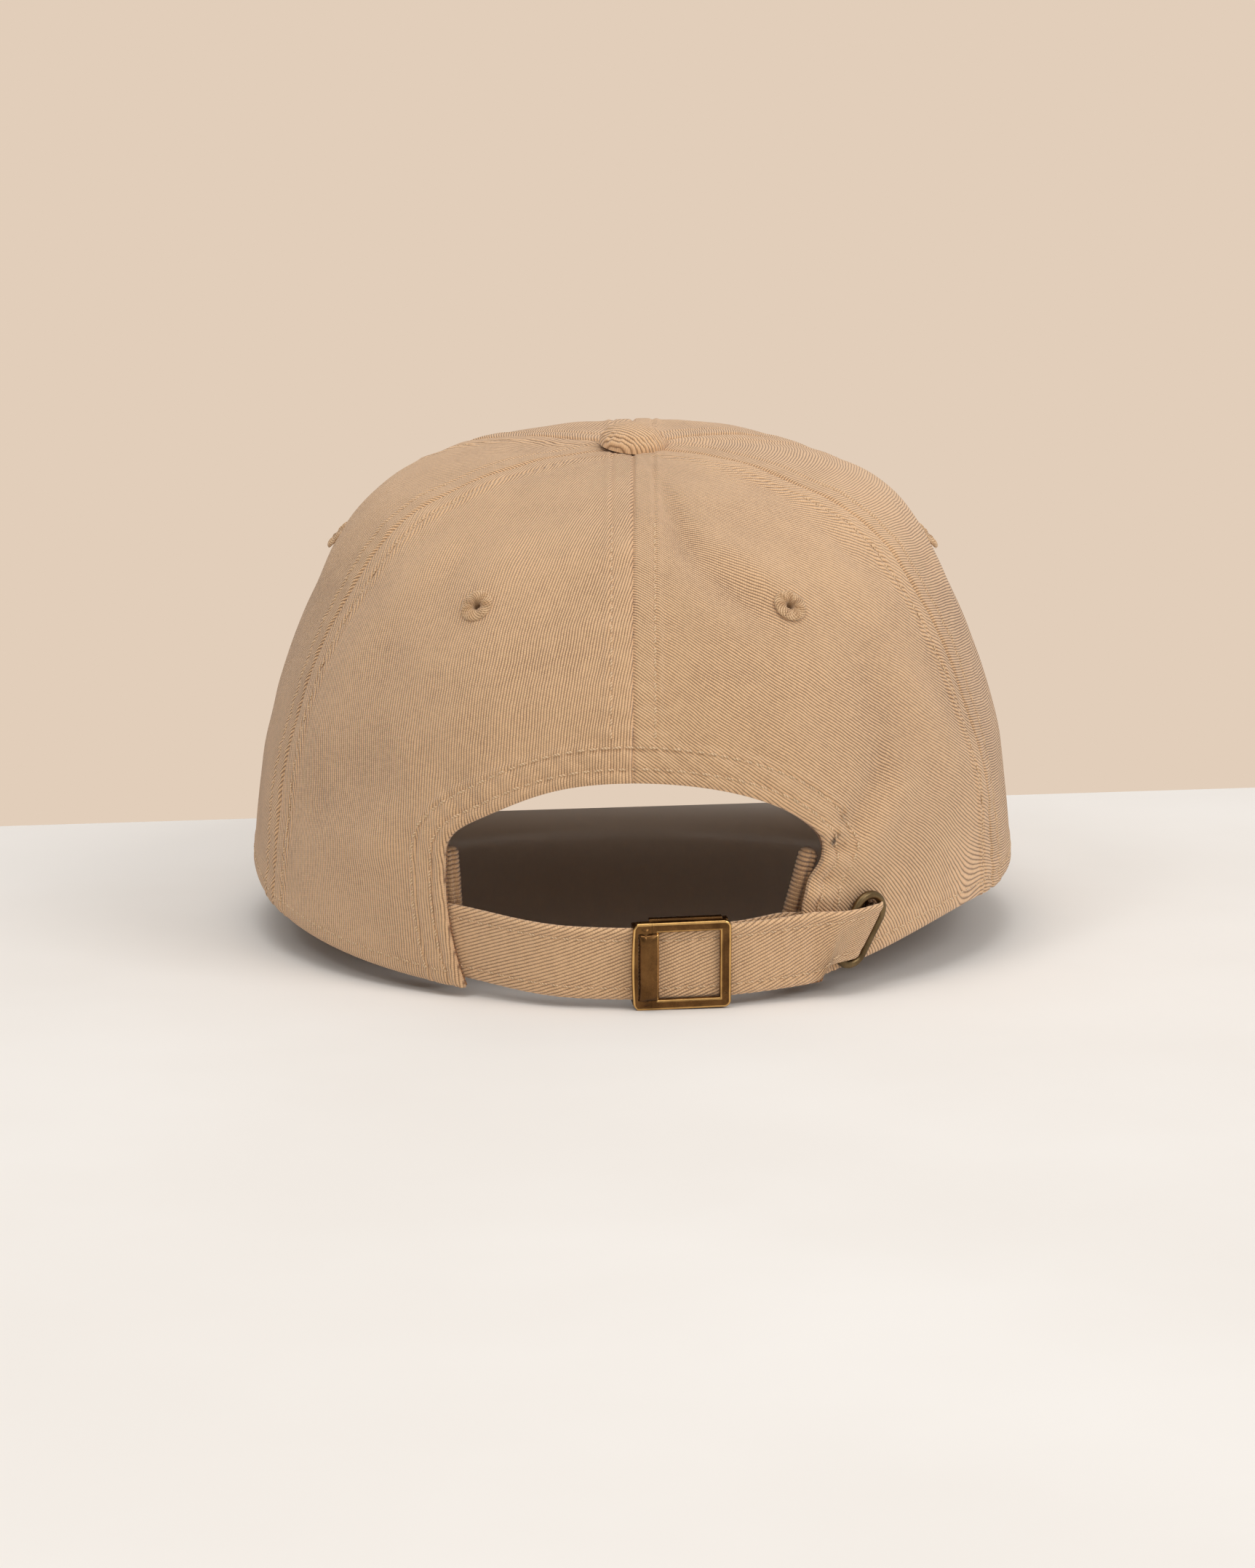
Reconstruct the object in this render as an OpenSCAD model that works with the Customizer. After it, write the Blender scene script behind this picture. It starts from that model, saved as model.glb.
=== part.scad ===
// Six-panel unstructured baseball cap, lying on its brim and its back rim.
// It has a horseshoe rear opening, a fabric strap, a brass clamp buckle and a slot grommet
// that takes the strap's tail. +Z is up, the brim points to +Y, the rear opening faces -Y.
// The origin is under the centre of the head opening, at the level of the table.
// Shapes are first made in the crown's own frame, with its rim in the XY plane,
// and seated() then tips the whole cap up at the brim.

/* [Crown] */
// Half width of the head opening
crown_a = 88; // [82:1:94]
// Half length of the head opening
crown_b = 100; // [95:1:106]
// Height of the crown above its rim
crown_c = 97; // [92:1:104]
// Squareness of the side view, 2 is an ellipse
crown_n = 3; // [2.6:0.1:3.2]
// Share of its width that the crown loses towards the top
crown_lean = 0.13; // [0.10:0.01:0.16]
// How far the top slouches towards the back
crown_slouch = 7; // [4:1:10]
// Thickness of the panel cloth with its seam allowance
cloth_t = 1.2; // [1:0.1:1.3]
// Angle from the back seam to the seams beside the back panels
back_seam = 66; // [62:1:68]
// Angle from the back seam to the seams beside the front panels
front_seam = 123; // [120:1:126]
// Tip of the rim plane when the cap lies on its brim
tip_angle = 8.5; // [8:0.5:9]

/* [Rear opening] */
// Half angle of the arch where its sides start
arch_half = 27.6; // [26:0.2:28]
// Height where the straight sides meet the arch
arch_side_h = 29.5; // [28:0.5:31]
// Rise of the arch above the sides
arch_rise = 17.3; // [15:0.1:19]
// Width of the facing sewn inside the edge of the opening
facing_w = 5; // [5:0.25:6.25]

/* [Brim] */
// Reach of the brim's tip from the centre of the head opening
brim_tip = 168; // [160:1:175]
// Height of the brim's tip above the table
brim_tip_h = 31; // [28:1:34]
// Thickness of the stiffening board
board_t = 2; // [1.6:0.1:2.4]
// Thickness of each fabric layer of the brim
brim_cloth_t = 0.9; // [0.7:0.1:1]

/* [Strap] */
// Width of the strap
strap_w = 15.8; // [15:0.1:16.2]
// Thickness of the strap
strap_t = 1.2; // [1:0.1:1.2]
// Height of the strap's middle line above the rim
strap_mid = 9.3; // [9.1:0.1:9.6]
// Angle at which the strap starts to dive, once it is over the grommet's near wire
dive_at = 37.6; // [37.5:0.1:37.7]
// Height that the tail of the strap gains on its way to the slot
tail_rise = 1.6; // [1.2:0.1:1.8]

/* [Buckle] */
// Outer width of the buckle
buckle_w = 21; // [20.5:0.1:21.5]
// Outer height of the buckle
buckle_h = 19.4; // [19.2:0.1:19.6]
// Angle of the buckle's middle along the strap
buckle_at = 7.2; // [6:0.2:8]
// Radius of the hinge pin
pin_r = 0.5; // [0.4:0.05:0.55]

/* [Trim] */
// Radius of the covered button
button_r = 7.7; // [7:0.1:8.2]
// Outer radius of the sewn eyelets
eyelet_r = 3.7; // [3.4:0.1:3.9]
// Height of the sweatband
sweat_h = 32; // [28:1:34]

/* [Hidden] */

tan_cloth = [0.78, 0.64, 0.49];
dark_cloth = [0.70, 0.56, 0.42];
tape_cloth = [0.80, 0.70, 0.58];
brass = [0.45, 0.35, 0.20];

// Layers inside the crown, as depths below its outer face
tape_in = cloth_t + 0.8;
tape_out = cloth_t + 1.3;
facing_in = cloth_t + 0.4;
facing_out = cloth_t + 0.7;
sweat_in = 4.1;
sweat_out = 5.2;
// The crown's top ring, as an angle up its side view
ring_beta = 88;
panel_rows = 9;

// The strap's middle runs on a circle about this point of the crown frame
strap_r = 79;
strap_axis_y = crown_a * crown_a / crown_b - crown_b;
strap_z0 = strap_mid - strap_w / 2;
under_r = 74.8;
free_from = -9;
under_from = -29.5;
strap_end = -36;
// The tail climbs over the near wire, dives through the slot and lies inside
over_r = 80.7;
over_at = 34;
dive_len = 5;
tail_r = 75.2;
tail_end = 54;
tail_w = 9.2;
slot_tilt = 34;
slot_len = 14.6;
slot_w = 6;
slot_at = 37.6;
tail_from = 28;

// Buckle, from its middle: the strap's front face bows back by strap_sag at its ends
plate_t = 0.6;
frame_t = 1;
strap_sag = 0.7;
plate_back = strap_t / 2 + strap_sag + 0.3;
frame_front = strap_t / 2 + 0.3;
cam_r = 1.4;
cam_x = -7.6;
cam_y = frame_front + 1.2;
ear_r = 1.1;
ear_z = strap_w / 2 + 0.25;
ear_t = 0.6;
bar_w = 1.7;

// Lifts the cap so that the buckle's lower edge meets the table
seat_lift = 0.85;

function mix(p, q, t) = p + (q - p) * t;
function smooth(t) = let (k = min(1, max(0, t))) k * k * (3 - 2 * k);

// Angle up the side view at which the crown reaches the height z
function beta_of(z) =
    let (f = pow(max(0, z) / crown_c, crown_n))
    sign(z) * atan(pow(f / (1 - f), 1 / crown_n));

// Point of the crown's outer face, phi round from the back seam, beta up from the rim
function outer_point(phi, beta) =
    let (
        size = pow(pow(cos(beta), crown_n) + pow(abs(sin(beta)), crown_n), 1 / crown_n),
        zf = sin(beta) / size,
        w = cos(beta) / size * (1 - crown_lean * zf * zf)
    )
    [crown_a * w * sin(phi), -crown_b * w * cos(phi) - crown_slouch * zf * zf, crown_c * zf];

function unit(v) = v / norm(v);
function outward(phi, beta) =
    let (step = 0.4)
    unit(cross(
        outer_point(phi + step, beta) - outer_point(phi - step, beta),
        outer_point(phi, beta + step) - outer_point(phi, beta - step)
    ));

// Point at a depth below the outer face
function crown_point(phi, beta, depth) = outer_point(phi, beta) - depth * outward(phi, beta);

// Height of the rim: it dips at the corners of the brim and rises at the front
brim_corner = front_seam - 8;
dip_from = 80;
rim_dip = 8;
front_rise = 6;
function rim_z(phi) =
    let (p = abs(phi))
    p < brim_corner
        ? -rim_dip * smooth((p - dip_from) / (brim_corner - dip_from))
        : mix(-rim_dip, front_rise, smooth((p - brim_corner) / (180 - brim_corner)));

// Lower edge of a back panel as [phi, beta]: arch, side of the opening, rim.
// grow moves the opening's edge out into the cloth.
arch_share = 0.4;
side_share = 0.62;
foot_in = 3.6;
mm_per_degree = 1.35;
function arch_edge(e, grow = 0) =
    let (half = arch_half + grow / mm_per_degree)
    e < arch_share
        ? let (k = e / arch_share)
          [half * k, beta_of(arch_side_h + (arch_rise + grow) * pow(1 - k * k, 0.55))]
        : let (k = (e - arch_share) / (side_share - arch_share))
          [half - foot_in * pow(k, 2.2), beta_of(arch_side_h * (1 - k))];
function back_edge(e) =
    e <= side_share
        ? arch_edge(e)
        : [mix(arch_half - foot_in, back_seam, (e - side_share) / (1 - side_share)), 0];

// Lower edge of any other panel
function rim_edge(phi) = [phi, sign(rim_z(phi)) * beta_of(abs(rim_z(phi)))];

// Grid of a panel, from its lower edge up to the top ring
function panel_grid(edges, phi0, phi1, depth) = [
    for (i = [0:len(edges) - 1]) [
        for (j = [0:panel_rows])
            let (
                t = j / panel_rows,
                top_phi = mix(phi0, phi1, i / (len(edges) - 1)),
                phi = mix(edges[i][0], top_phi, pow(t, 1.5)),
                beta = mix(edges[i][1], ring_beta, t)
            )
            crown_point(phi, beta, depth)
    ]
];

// Closed shell between two grids of the same size
module sheet(outer, inner) {
    n = len(outer);
    m = len(outer[0]);
    function id(s, i, j) = s * n * m + i * m + j;
    faces = concat(
        [for (i = [0:n - 2], j = [0:m - 2]) [id(0, i, j), id(0, i, j + 1), id(0, i + 1, j + 1)]],
        [for (i = [0:n - 2], j = [0:m - 2]) [id(0, i, j), id(0, i + 1, j + 1), id(0, i + 1, j)]],
        [for (i = [0:n - 2], j = [0:m - 2]) [id(1, i, j), id(1, i + 1, j + 1), id(1, i, j + 1)]],
        [for (i = [0:n - 2], j = [0:m - 2]) [id(1, i, j), id(1, i + 1, j), id(1, i + 1, j + 1)]],
        [for (i = [0:n - 2], j = [0, m - 1], k = [0, 1])
            let (a = j == 0 ? i : i + 1, b = j == 0 ? i + 1 : i)
            k == 0 ? [id(0, a, j), id(0, b, j), id(1, b, j)] : [id(0, a, j), id(1, b, j), id(1, a, j)]],
        [for (j = [0:m - 2], i = [0, n - 1], k = [0, 1])
            let (a = i == 0 ? j + 1 : j, b = i == 0 ? j : j + 1)
            k == 0 ? [id(0, i, a), id(0, i, b), id(1, i, b)] : [id(0, i, a), id(1, i, b), id(1, i, a)]]
    );
    polyhedron(points = concat([for (r = outer) each r], [for (r = inner) each r]), faces = faces);
}

module seated() {
    translate([0, -crown_b, seat_lift]) rotate([tip_angle, 0, 0]) translate([0, crown_b, 0]) children();
}

// Turns +Z to the crown's outward direction at a point of its outer face
module on_crown(phi, beta, depth = 0) {
    d = outward(phi, beta);
    translate(crown_point(phi, beta, depth)) rotate([0, acos(d[2]), atan2(d[1], d[0])]) children();
}

module on_side(side) {
    if (side > 0) children();
    else mirror([1, 0, 0]) children();
}

// ---- Panels -------------------------------------------------------------
eyelet_z = 77;
eyelet_side_z = 74;
eyelet_back = 31;
eyelet_side = 95;
eyelet_front = 152;
eyelet_hole_r = 2.5;

module eyelet_hole(phi, z = eyelet_z) {
    on_crown(phi, beta_of(z)) cylinder(h = 8, r = eyelet_hole_r, center = true, $fn = 32);
}

module panel(edges, phi0, phi1) {
    sheet(panel_grid(edges, phi0, phi1, 0), panel_grid(edges, phi0, phi1, cloth_t));
}

module back_panel() {
    columns = 20;
    difference() {
        panel([for (i = [0:columns]) back_edge(i / columns)], 0, back_seam);
        eyelet_hole(eyelet_back);
    }
}

module side_panel() {
    columns = 9;
    difference() {
        panel([for (i = [0:columns]) rim_edge(mix(back_seam, front_seam, i / columns))],
            back_seam, front_seam);
        eyelet_hole(eyelet_side, eyelet_side_z);
    }
}

module front_panel() {
    columns = 10;
    difference() {
        panel([for (i = [0:columns]) rim_edge(mix(front_seam, 180, i / columns))], front_seam, 180);
        eyelet_hole(eyelet_front);
    }
}

module front_panel_left() color(tan_cloth) seated() on_side(-1) front_panel();
module front_panel_right() color(tan_cloth) seated() front_panel();
module side_panel_left() color(tan_cloth) seated() on_side(-1) side_panel();
module side_panel_right() color(tan_cloth) seated() side_panel();
module back_panel_left() color(tan_cloth) seated() on_side(-1) back_panel();
module back_panel_right() {
    color(tan_cloth) seated() difference() {
        back_panel();
        in_slot(77.8) slot_prism(slot_w, slot_len, 8);
    }
}

// ---- Tapes and facing inside --------------------------------------------
module seam_tape(phi, z0) {
    half_w = 4.5;
    rows = 10;
    top_beta = 76;
    function tape_row(t, depth) =
        let (
            beta = mix(sign(z0) * beta_of(abs(z0)), top_beta, t),
            p = outer_point(phi, beta),
            spread = half_w / norm([p[0], p[1]]) * 180 / PI
        )
        [for (k = [-1:1]) crown_point(phi + k * spread, beta, depth)];
    sheet([for (j = [rows:-1:0]) tape_row(j / rows, tape_in)],
        [for (j = [rows:-1:0]) tape_row(j / rows, tape_out)]);
}

module seam_tape_front() color(tape_cloth) seated() seam_tape(180, 8);
module seam_tape_front_left() color(tape_cloth) seated() seam_tape(-front_seam, -4);
module seam_tape_front_right() color(tape_cloth) seated() seam_tape(front_seam, -4);
module seam_tape_back() color(tape_cloth) seated() seam_tape(0, arch_side_h + arch_rise + facing_w + 2);
module seam_tape_back_left() color(tape_cloth) seated() seam_tape(-back_seam, 1);
module seam_tape_back_right() color(tape_cloth) seated() seam_tape(back_seam, 1);

module arch_facing() {
    half_count = 13;
    function facing_row(k, depth) =
        let (
            e = min(side_share, abs(k) / half_count * side_share),
            inner = arch_edge(e, 0.3),
            outer = arch_edge(e, facing_w),
            s = k < 0 ? -1 : 1
        )
        [crown_point(s * inner[0], inner[1], depth), crown_point(s * outer[0], outer[1], depth)];
    color(dark_cloth) seated() sheet(
        [for (k = [-half_count:half_count]) facing_row(k, facing_in)],
        [for (k = [-half_count:half_count]) facing_row(k, facing_out)]
    );
}

// ---- Sweatband ----------------------------------------------------------
sweat_from = 32;
module sweatband() {
    columns = 40;
    rows = 3;
    function sweat_row(i, depth) =
        let (
            phi = mix(sweat_from, 360 - sweat_from, i / columns),
            near = phi > 180 ? 360 - phi : phi,
            low = rim_z(near) + 0.6
        )
        [for (j = [0:rows])
            let (z = low + sweat_h * j / rows)
            crown_point(phi, sign(z) * beta_of(abs(z)), depth)];
    color(dark_cloth) seated() sheet(
        [for (i = [0:columns]) sweat_row(i, sweat_in)],
        [for (i = [0:columns]) sweat_row(i, sweat_out)]
    );
}

roll_r = 2.2;
roll_path_r = 71.6;
function on_roll_path(x, z) = [x, strap_axis_y - sqrt(roll_path_r * roll_path_r - x * x), z];
module roll(x_low, x_high) {
    low = on_roll_path(x_low, 1.5);
    high = on_roll_path(x_high, sweat_h - 3);
    d = high - low;
    color(dark_cloth) seated() translate(low)
        rotate([0, acos(d[2] / norm(d)), atan2(d[1], d[0])]) cylinder(h = norm(d), r = roll_r, $fn = 32);
}
module sweatband_roll_left() roll(-37.2, -39.3);
module sweatband_roll_right() roll(30.4, 37.2);

// ---- Button -------------------------------------------------------------
button_h = 4.6;
shell_gap = 0.8;
button_tilt = 4;
button_lift = 0.7;
module on_top() {
    translate([0, -crown_slouch, crown_c]) rotate([button_tilt, button_tilt, 0])
        translate([0, 0, button_lift]) children();
}
// Half of a circular segment of radius r and height h
module cap_profile(r, h) {
    ball_r = (r * r + h * h) / (2 * h);
    intersection() {
        square([r, h]);
        translate([0, h - ball_r]) circle(r = ball_r, $fn = 96);
    }
}
// Dome with a domed hollow
module dome(r, h, hollow_r, hollow_h) {
    rotate_extrude($fn = 64) difference() {
        cap_profile(r, h);
        cap_profile(hollow_r, hollow_h);
    }
}
module button_cover() {
    color(tan_cloth) seated() on_top() dome(button_r, button_h, button_r - shell_gap, button_h - shell_gap);
}
module button_shell() {
    color("silver") seated() on_top()
        dome(button_r - shell_gap - 0.1, button_h - shell_gap - 0.1, button_r - 1.9, button_h - 1.7);
}
module button_rivet() {
    shank_r = 1.2;
    washer_r = 5;
    below = button_lift + cloth_t + 1.8;
    color("silver") seated() on_top() {
        translate([0, 0, -below]) cylinder(h = below + button_h - 1.8, r = shank_r, $fn = 32);
        translate([0, 0, -below]) cylinder(h = 0.8, r = washer_r, $fn = 48);
    }
}

// ---- Eyelets ------------------------------------------------------------
module eyelet(phi, z = eyelet_z) {
    hole_r = 0.8;
    face_h = 0.7;
    clear = 0.15;
    under = -cloth_t - 1;
    color(tape_cloth) seated() on_crown(phi, beta_of(z)) rotate_extrude($fn = 48) polygon([
        [hole_r, under - face_h], [eyelet_r - 0.6, under - face_h],
        [eyelet_r - 0.6, under], [eyelet_hole_r - 0.1, under],
        [eyelet_hole_r - 0.1, clear], [eyelet_r, clear], [eyelet_r, clear + 0.3],
        [eyelet_r - 0.7, clear + face_h], [hole_r + 0.4, clear + face_h], [hole_r, clear + 0.2]
    ]);
}
module eyelet_front_left() eyelet(-eyelet_front);
module eyelet_front_right() eyelet(eyelet_front);
module eyelet_side_left() eyelet(-eyelet_side, eyelet_side_z);
module eyelet_side_right() eyelet(eyelet_side, eyelet_side_z);
module eyelet_back_left() eyelet(-eyelet_back);
module eyelet_back_right() eyelet(eyelet_back);

// ---- Brim ---------------------------------------------------------------
brim_columns = 28;
brim_rows = 6;
brim_root = 0.4;
edge_low_h = 2.1;
// Share of the brim's depth that the board reaches, and the gap between its layers
board_reach = 0.9;
layer_gap = 0.03;
// Takes a point of the crown frame to where it lies when seated
function seat(p) =
    let (y = p[1] + crown_b)
    [p[0], y * cos(tip_angle) - p[2] * sin(tip_angle) - crown_b,
        y * sin(tip_angle) + p[2] * cos(tip_angle) + seat_lift];

// Root of the brim along the front rim, omega from -90 to 90 across it
function brim_inner(omega) =
    let (phi = 180 - omega / 90 * (180 - brim_corner), z = rim_z(min(phi, 360 - phi)))
    seat(outer_point(phi, sign(z) * beta_of(abs(z))) + [0, 0, 0.9])
        + [0, 0.5, 0] + brim_root * [sin(phi), -cos(phi), 0];
brim_half_w = 0.955 * crown_a;
brim_bow = 5;
brim_end = 87;
function brim_outer(omega) =
    let (
        corner = brim_inner(sign(omega) * 90),
        s = pow(abs(sin(omega)), 0.8),
        x = sign(omega) * abs(corner[0]) * s * (1 + 0.15 * sin(2 * abs(omega))),
        y = corner[1] + (brim_tip - corner[1]) * pow(max(0, cos(omega)), 0.8),
        arch = brim_tip_h - (brim_tip_h - edge_low_h) * pow(min(1, abs(x) / brim_half_w), 2),
        z = mix(arch, corner[2], smooth((abs(omega) - 68) / 22))
    )
    omega == 0 ? [0, brim_tip, brim_tip_h] : [x, y, z];
function brim_omega(i) = mix(-brim_end, brim_end, i / brim_columns);
function brim_v(j) = j < brim_rows ? j / (brim_rows - 1) * board_reach : 1;
function brim_point(omega, v) =
    let (p = brim_inner(omega), q = brim_outer(omega), bow = brim_bow * sin(180 * v) * pow(cos(omega), 2))
    mix(p, q, v) + [0, 0, bow];

// One layer of the brim between two heights, both closing up at the free edge
module brim_layer(low, high) {
    function rise(v, h) =
        let (side = sign(h))
        side * max(layer_gap, abs(h) - board_t / 2 * smooth((v - board_reach) / (1 - board_reach)));
    function layer_row(i, h) =
        [for (j = [0:brim_rows]) brim_point(brim_omega(i), brim_v(j)) + [0, 0, rise(brim_v(j), h)]];
    sheet([for (i = [0:brim_columns]) layer_row(i, high)], [for (i = [0:brim_columns]) layer_row(i, low)]);
}
module brim_top_fabric() color(tan_cloth)
    brim_layer(board_t / 2 + layer_gap, board_t / 2 + brim_cloth_t);
module brim_under_fabric() color(dark_cloth)
    brim_layer(-board_t / 2 - brim_cloth_t, -board_t / 2 - layer_gap);
module brim_board() {
    function board_row(i, h) =
        [for (j = [0:brim_rows - 1]) brim_point(brim_omega(i), brim_v(j)) + [0, 0, h]];
    color("white") sheet([for (i = [1:brim_columns - 1]) board_row(i, board_t / 2)],
        [for (i = [1:brim_columns - 1]) board_row(i, -board_t / 2)]);
}

// ---- Strap --------------------------------------------------------------
function on_strap(angle, r, z) = [r * sin(angle), strap_axis_y - r * cos(angle), z];

// Arc band about the strap axis, from one angle to another
module band(r0, r1, from, to, z0, z1) {
    translate([0, strap_axis_y, 0]) rotate([0, 0, from - 90]) rotate_extrude(angle = to - from, $fn = 180)
        translate([r0, z0]) square([r1 - r0, z1 - z0]);
}

// Prism between two radii that change with the angle
module wavy_band(angles, radii, thick, z0, height) {
    last = len(angles) - 1;
    function flat(k, r) = [r * sin(angles[k]), strap_axis_y - r * cos(angles[k])];
    translate([0, 0, z0]) linear_extrude(height) polygon(concat(
        [for (k = [0:last]) flat(k, radii[k] + thick / 2)],
        [for (k = [last:-1:0]) flat(k, radii[k] - thick / 2)]
    ));
}

// Slanted end of the strap, which dives through the slot and lies inside
module strap_tail() {
    lean = tail_w * tan(slot_tilt) / strap_r * 180 / PI;
    function tail_row(a) =
        let (
            climbing = mix(strap_r, over_r, smooth((a - tail_from) / (over_at - tail_from))),
            r = mix(climbing, tail_r, smooth((a - dive_at) / dive_len)),
            turning = smooth((a - tail_from) / (dive_at - tail_from)),
            w = mix(strap_w, tail_w, turning),
            low_a = a - lean * turning,
            z0 = strap_mid + tail_rise * turning - w / 2
        )
        [on_strap(low_a, r + strap_t / 2, z0), on_strap(a, r + strap_t / 2, z0 + w),
            on_strap(a, r - strap_t / 2, z0 + w), on_strap(low_a, r - strap_t / 2, z0)];
    dived_at = dive_at + dive_len;
    angles = [each [tail_from:1:dive_at - 0.5], each [dive_at:0.5:dived_at], each [dived_at + 1.5:3:tail_end]];
    rows = [for (a = angles) tail_row(a)];
    last = len(rows) - 1;
    sides = concat(
        [for (i = [0:last - 1], k = [0:3]) [4 * i + k, 4 * i + (k + 1) % 4, 4 * i + 4 + (k + 1) % 4]],
        [for (i = [0:last - 1], k = [0:3]) [4 * i + k, 4 * i + 4 + (k + 1) % 4, 4 * i + 4 + k]]
    );
    end = 4 * last;
    ends = [[3, 2, 1], [3, 1, 0], [end, end + 1, end + 2], [end, end + 2, end + 3]];
    polyhedron(points = [for (r = rows) each r], faces = concat(sides, ends));
}

module strap() {
    steps = 8;
    join_over = 0.2;
    angles = concat([free_from + join_over], [for (k = [0:steps]) mix(free_from, under_from, k / steps)],
        [strap_end]);
    radii = [for (a = angles) mix(strap_r, under_r, smooth((free_from - a) / (free_from - under_from)))];
    color(tan_cloth) seated() {
        band(strap_r - strap_t / 2, strap_r + strap_t / 2, free_from, tail_from + join_over,
            strap_z0, strap_z0 + strap_w);
        wavy_band(angles, radii, strap_t, strap_z0, strap_w);
        strap_tail();
    }
}

// ---- Slot grommet -------------------------------------------------------
wire_r = 0.9;
module in_slot(r) {
    translate(on_strap(slot_at, r, strap_mid + tail_rise)) rotate([0, 0, slot_at]) rotate([90, 0, 0])
        rotate([0, 0, -slot_tilt]) children();
}
module slot_prism(w, len, h) {
    linear_extrude(h, center = true) {
        square([w, len - w], center = true);
        for (s = [-1, 1]) translate([0, s * (len - w) / 2]) circle(d = w, $fn = 32);
    }
}
// Round wire bent to the slot's outline
module slot_ring(w, len, wire) {
    for (s = [-1, 1]) {
        translate([s * w / 2, 0, 0]) rotate([90, 0, 0])
            cylinder(h = len - w, r = wire, center = true, $fn = 24);
        translate([0, s * (len - w) / 2, 0]) rotate([0, 0, s > 0 ? 0 : 180])
            rotate_extrude(angle = 180, $fn = 48) translate([w / 2, 0]) circle(r = wire, $fn = 24);
    }
}
module grommet_front() {
    color(brass) seated() in_slot(78.9) slot_ring(slot_w + 1.4, slot_len + 1.4, wire_r);
}
module grommet_back() {
    color(brass) seated() in_slot(76.2) difference() {
        slot_prism(slot_w + 2.2, slot_len + 2.2, 0.5);
        slot_prism(slot_w, slot_len, 2);
    }
}

// ---- Buckle -------------------------------------------------------------
// Frame of the buckle: X along the strap, Z up, -Y out of the cap
module in_buckle() {
    translate([0, strap_axis_y, 0]) rotate([0, 0, buckle_at]) translate([0, -strap_r, strap_mid]) children();
}
module plate(x0, x1, y0, y1, z0, z1) {
    translate([x0, y0, z0]) cube([x1 - x0, y1 - y0, z1 - z0]);
}
bar_x = buckle_w / 2 - 1.2;
bar_y = plate_back + 1.6;
loop_bar_r = 0.6;
module buckle_base() {
    half_w = buckle_w / 2;
    flange_x = 6.5;
    rear = plate_back + plate_t;
    color(brass) seated() in_buckle() {
        // Back plate behind the strap, with a notch for the loop's bar
        plate(-half_w, bar_x - 2.2, plate_back, rear, -ear_z - ear_t, ear_z + ear_t);
        for (s = [-1, 1]) {
            low = s > 0 ? ear_z : -ear_z - ear_t;
            // Flange folded over the strap's edge
            plate(-half_w, flange_x, -frame_front + 0.2, rear, low, low + ear_t);
            // Arm out to the loop's bar
            plate(flange_x - 3, bar_x + 1, plate_back, bar_y + 0.8, low, low + ear_t);
            // Ear that carries the hinge pin
            difference() {
                union() {
                    translate([cam_x, -cam_y, low]) cylinder(h = ear_t, r = ear_r, $fn = 32);
                    plate(cam_x - ear_r, cam_x + ear_r, -cam_y, 0, low, low + ear_t);
                }
                translate([cam_x, -cam_y, low - 1]) cylinder(h = 3, r = pin_r, $fn = 32);
            }
        }
        translate([bar_x, bar_y, -ear_z - 0.1]) cylinder(h = 2 * ear_z + 0.2, r = loop_bar_r, $fn = 32);
        // Left bar in front of the strap
        plate(-half_w, -half_w + 0.7, -frame_front - 0.6, -frame_front + 0.2, -ear_z - ear_t, ear_z + ear_t);
    }
}
module buckle_pin() {
    pin_half = buckle_h / 2 - 0.05;
    color(brass) seated() in_buckle() translate([cam_x, -cam_y, -pin_half])
        cylinder(h = 2 * pin_half, r = pin_r, $fn = 32);
}
module buckle_lever() {
    half_w = buckle_w / 2;
    half_h = buckle_h / 2;
    run = 0.05;
    arm_z = ear_z + ear_t + 0.15;
    web_x = cam_x + cam_r + 0.2;
    color(brass) seated() in_buckle() difference() {
        union() {
            translate([cam_x, -cam_y, 0]) cylinder(h = 2 * (ear_z - 0.2), r = cam_r, center = true, $fn = 64);
            plate(cam_x, web_x + 1, -frame_front - frame_t, -frame_front, -ear_z + 0.2, ear_z - 0.2);
            plate(web_x, web_x + 1, -frame_front - frame_t, -frame_front, -half_h, half_h);
            for (s = [-1, 1]) {
                low = s > 0 ? arm_z : -half_h;
                translate([cam_x, -cam_y, low]) cylinder(h = half_h - arm_z, r = ear_r, $fn = 32);
                plate(cam_x, web_x + 0.5, -frame_front - frame_t, -frame_front, low, low + half_h - arm_z);
                plate(web_x, half_w, -frame_front - frame_t, -frame_front,
                    s > 0 ? half_h - bar_w : -half_h, s > 0 ? half_h : -half_h + bar_w);
            }
            plate(half_w - 2.4, half_w, -frame_front - frame_t, -frame_front, -half_h, half_h);
        }
        translate([cam_x, -cam_y, 0]) cylinder(h = 2 * buckle_h, r = pin_r + run, center = true, $fn = 32);
        // Groove down the right bar
        plate(half_w - 1.7, half_w - 0.6, -frame_front - frame_t - 1, -frame_front - frame_t + 0.35, -6.5, 6.5);
    }
}

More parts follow.
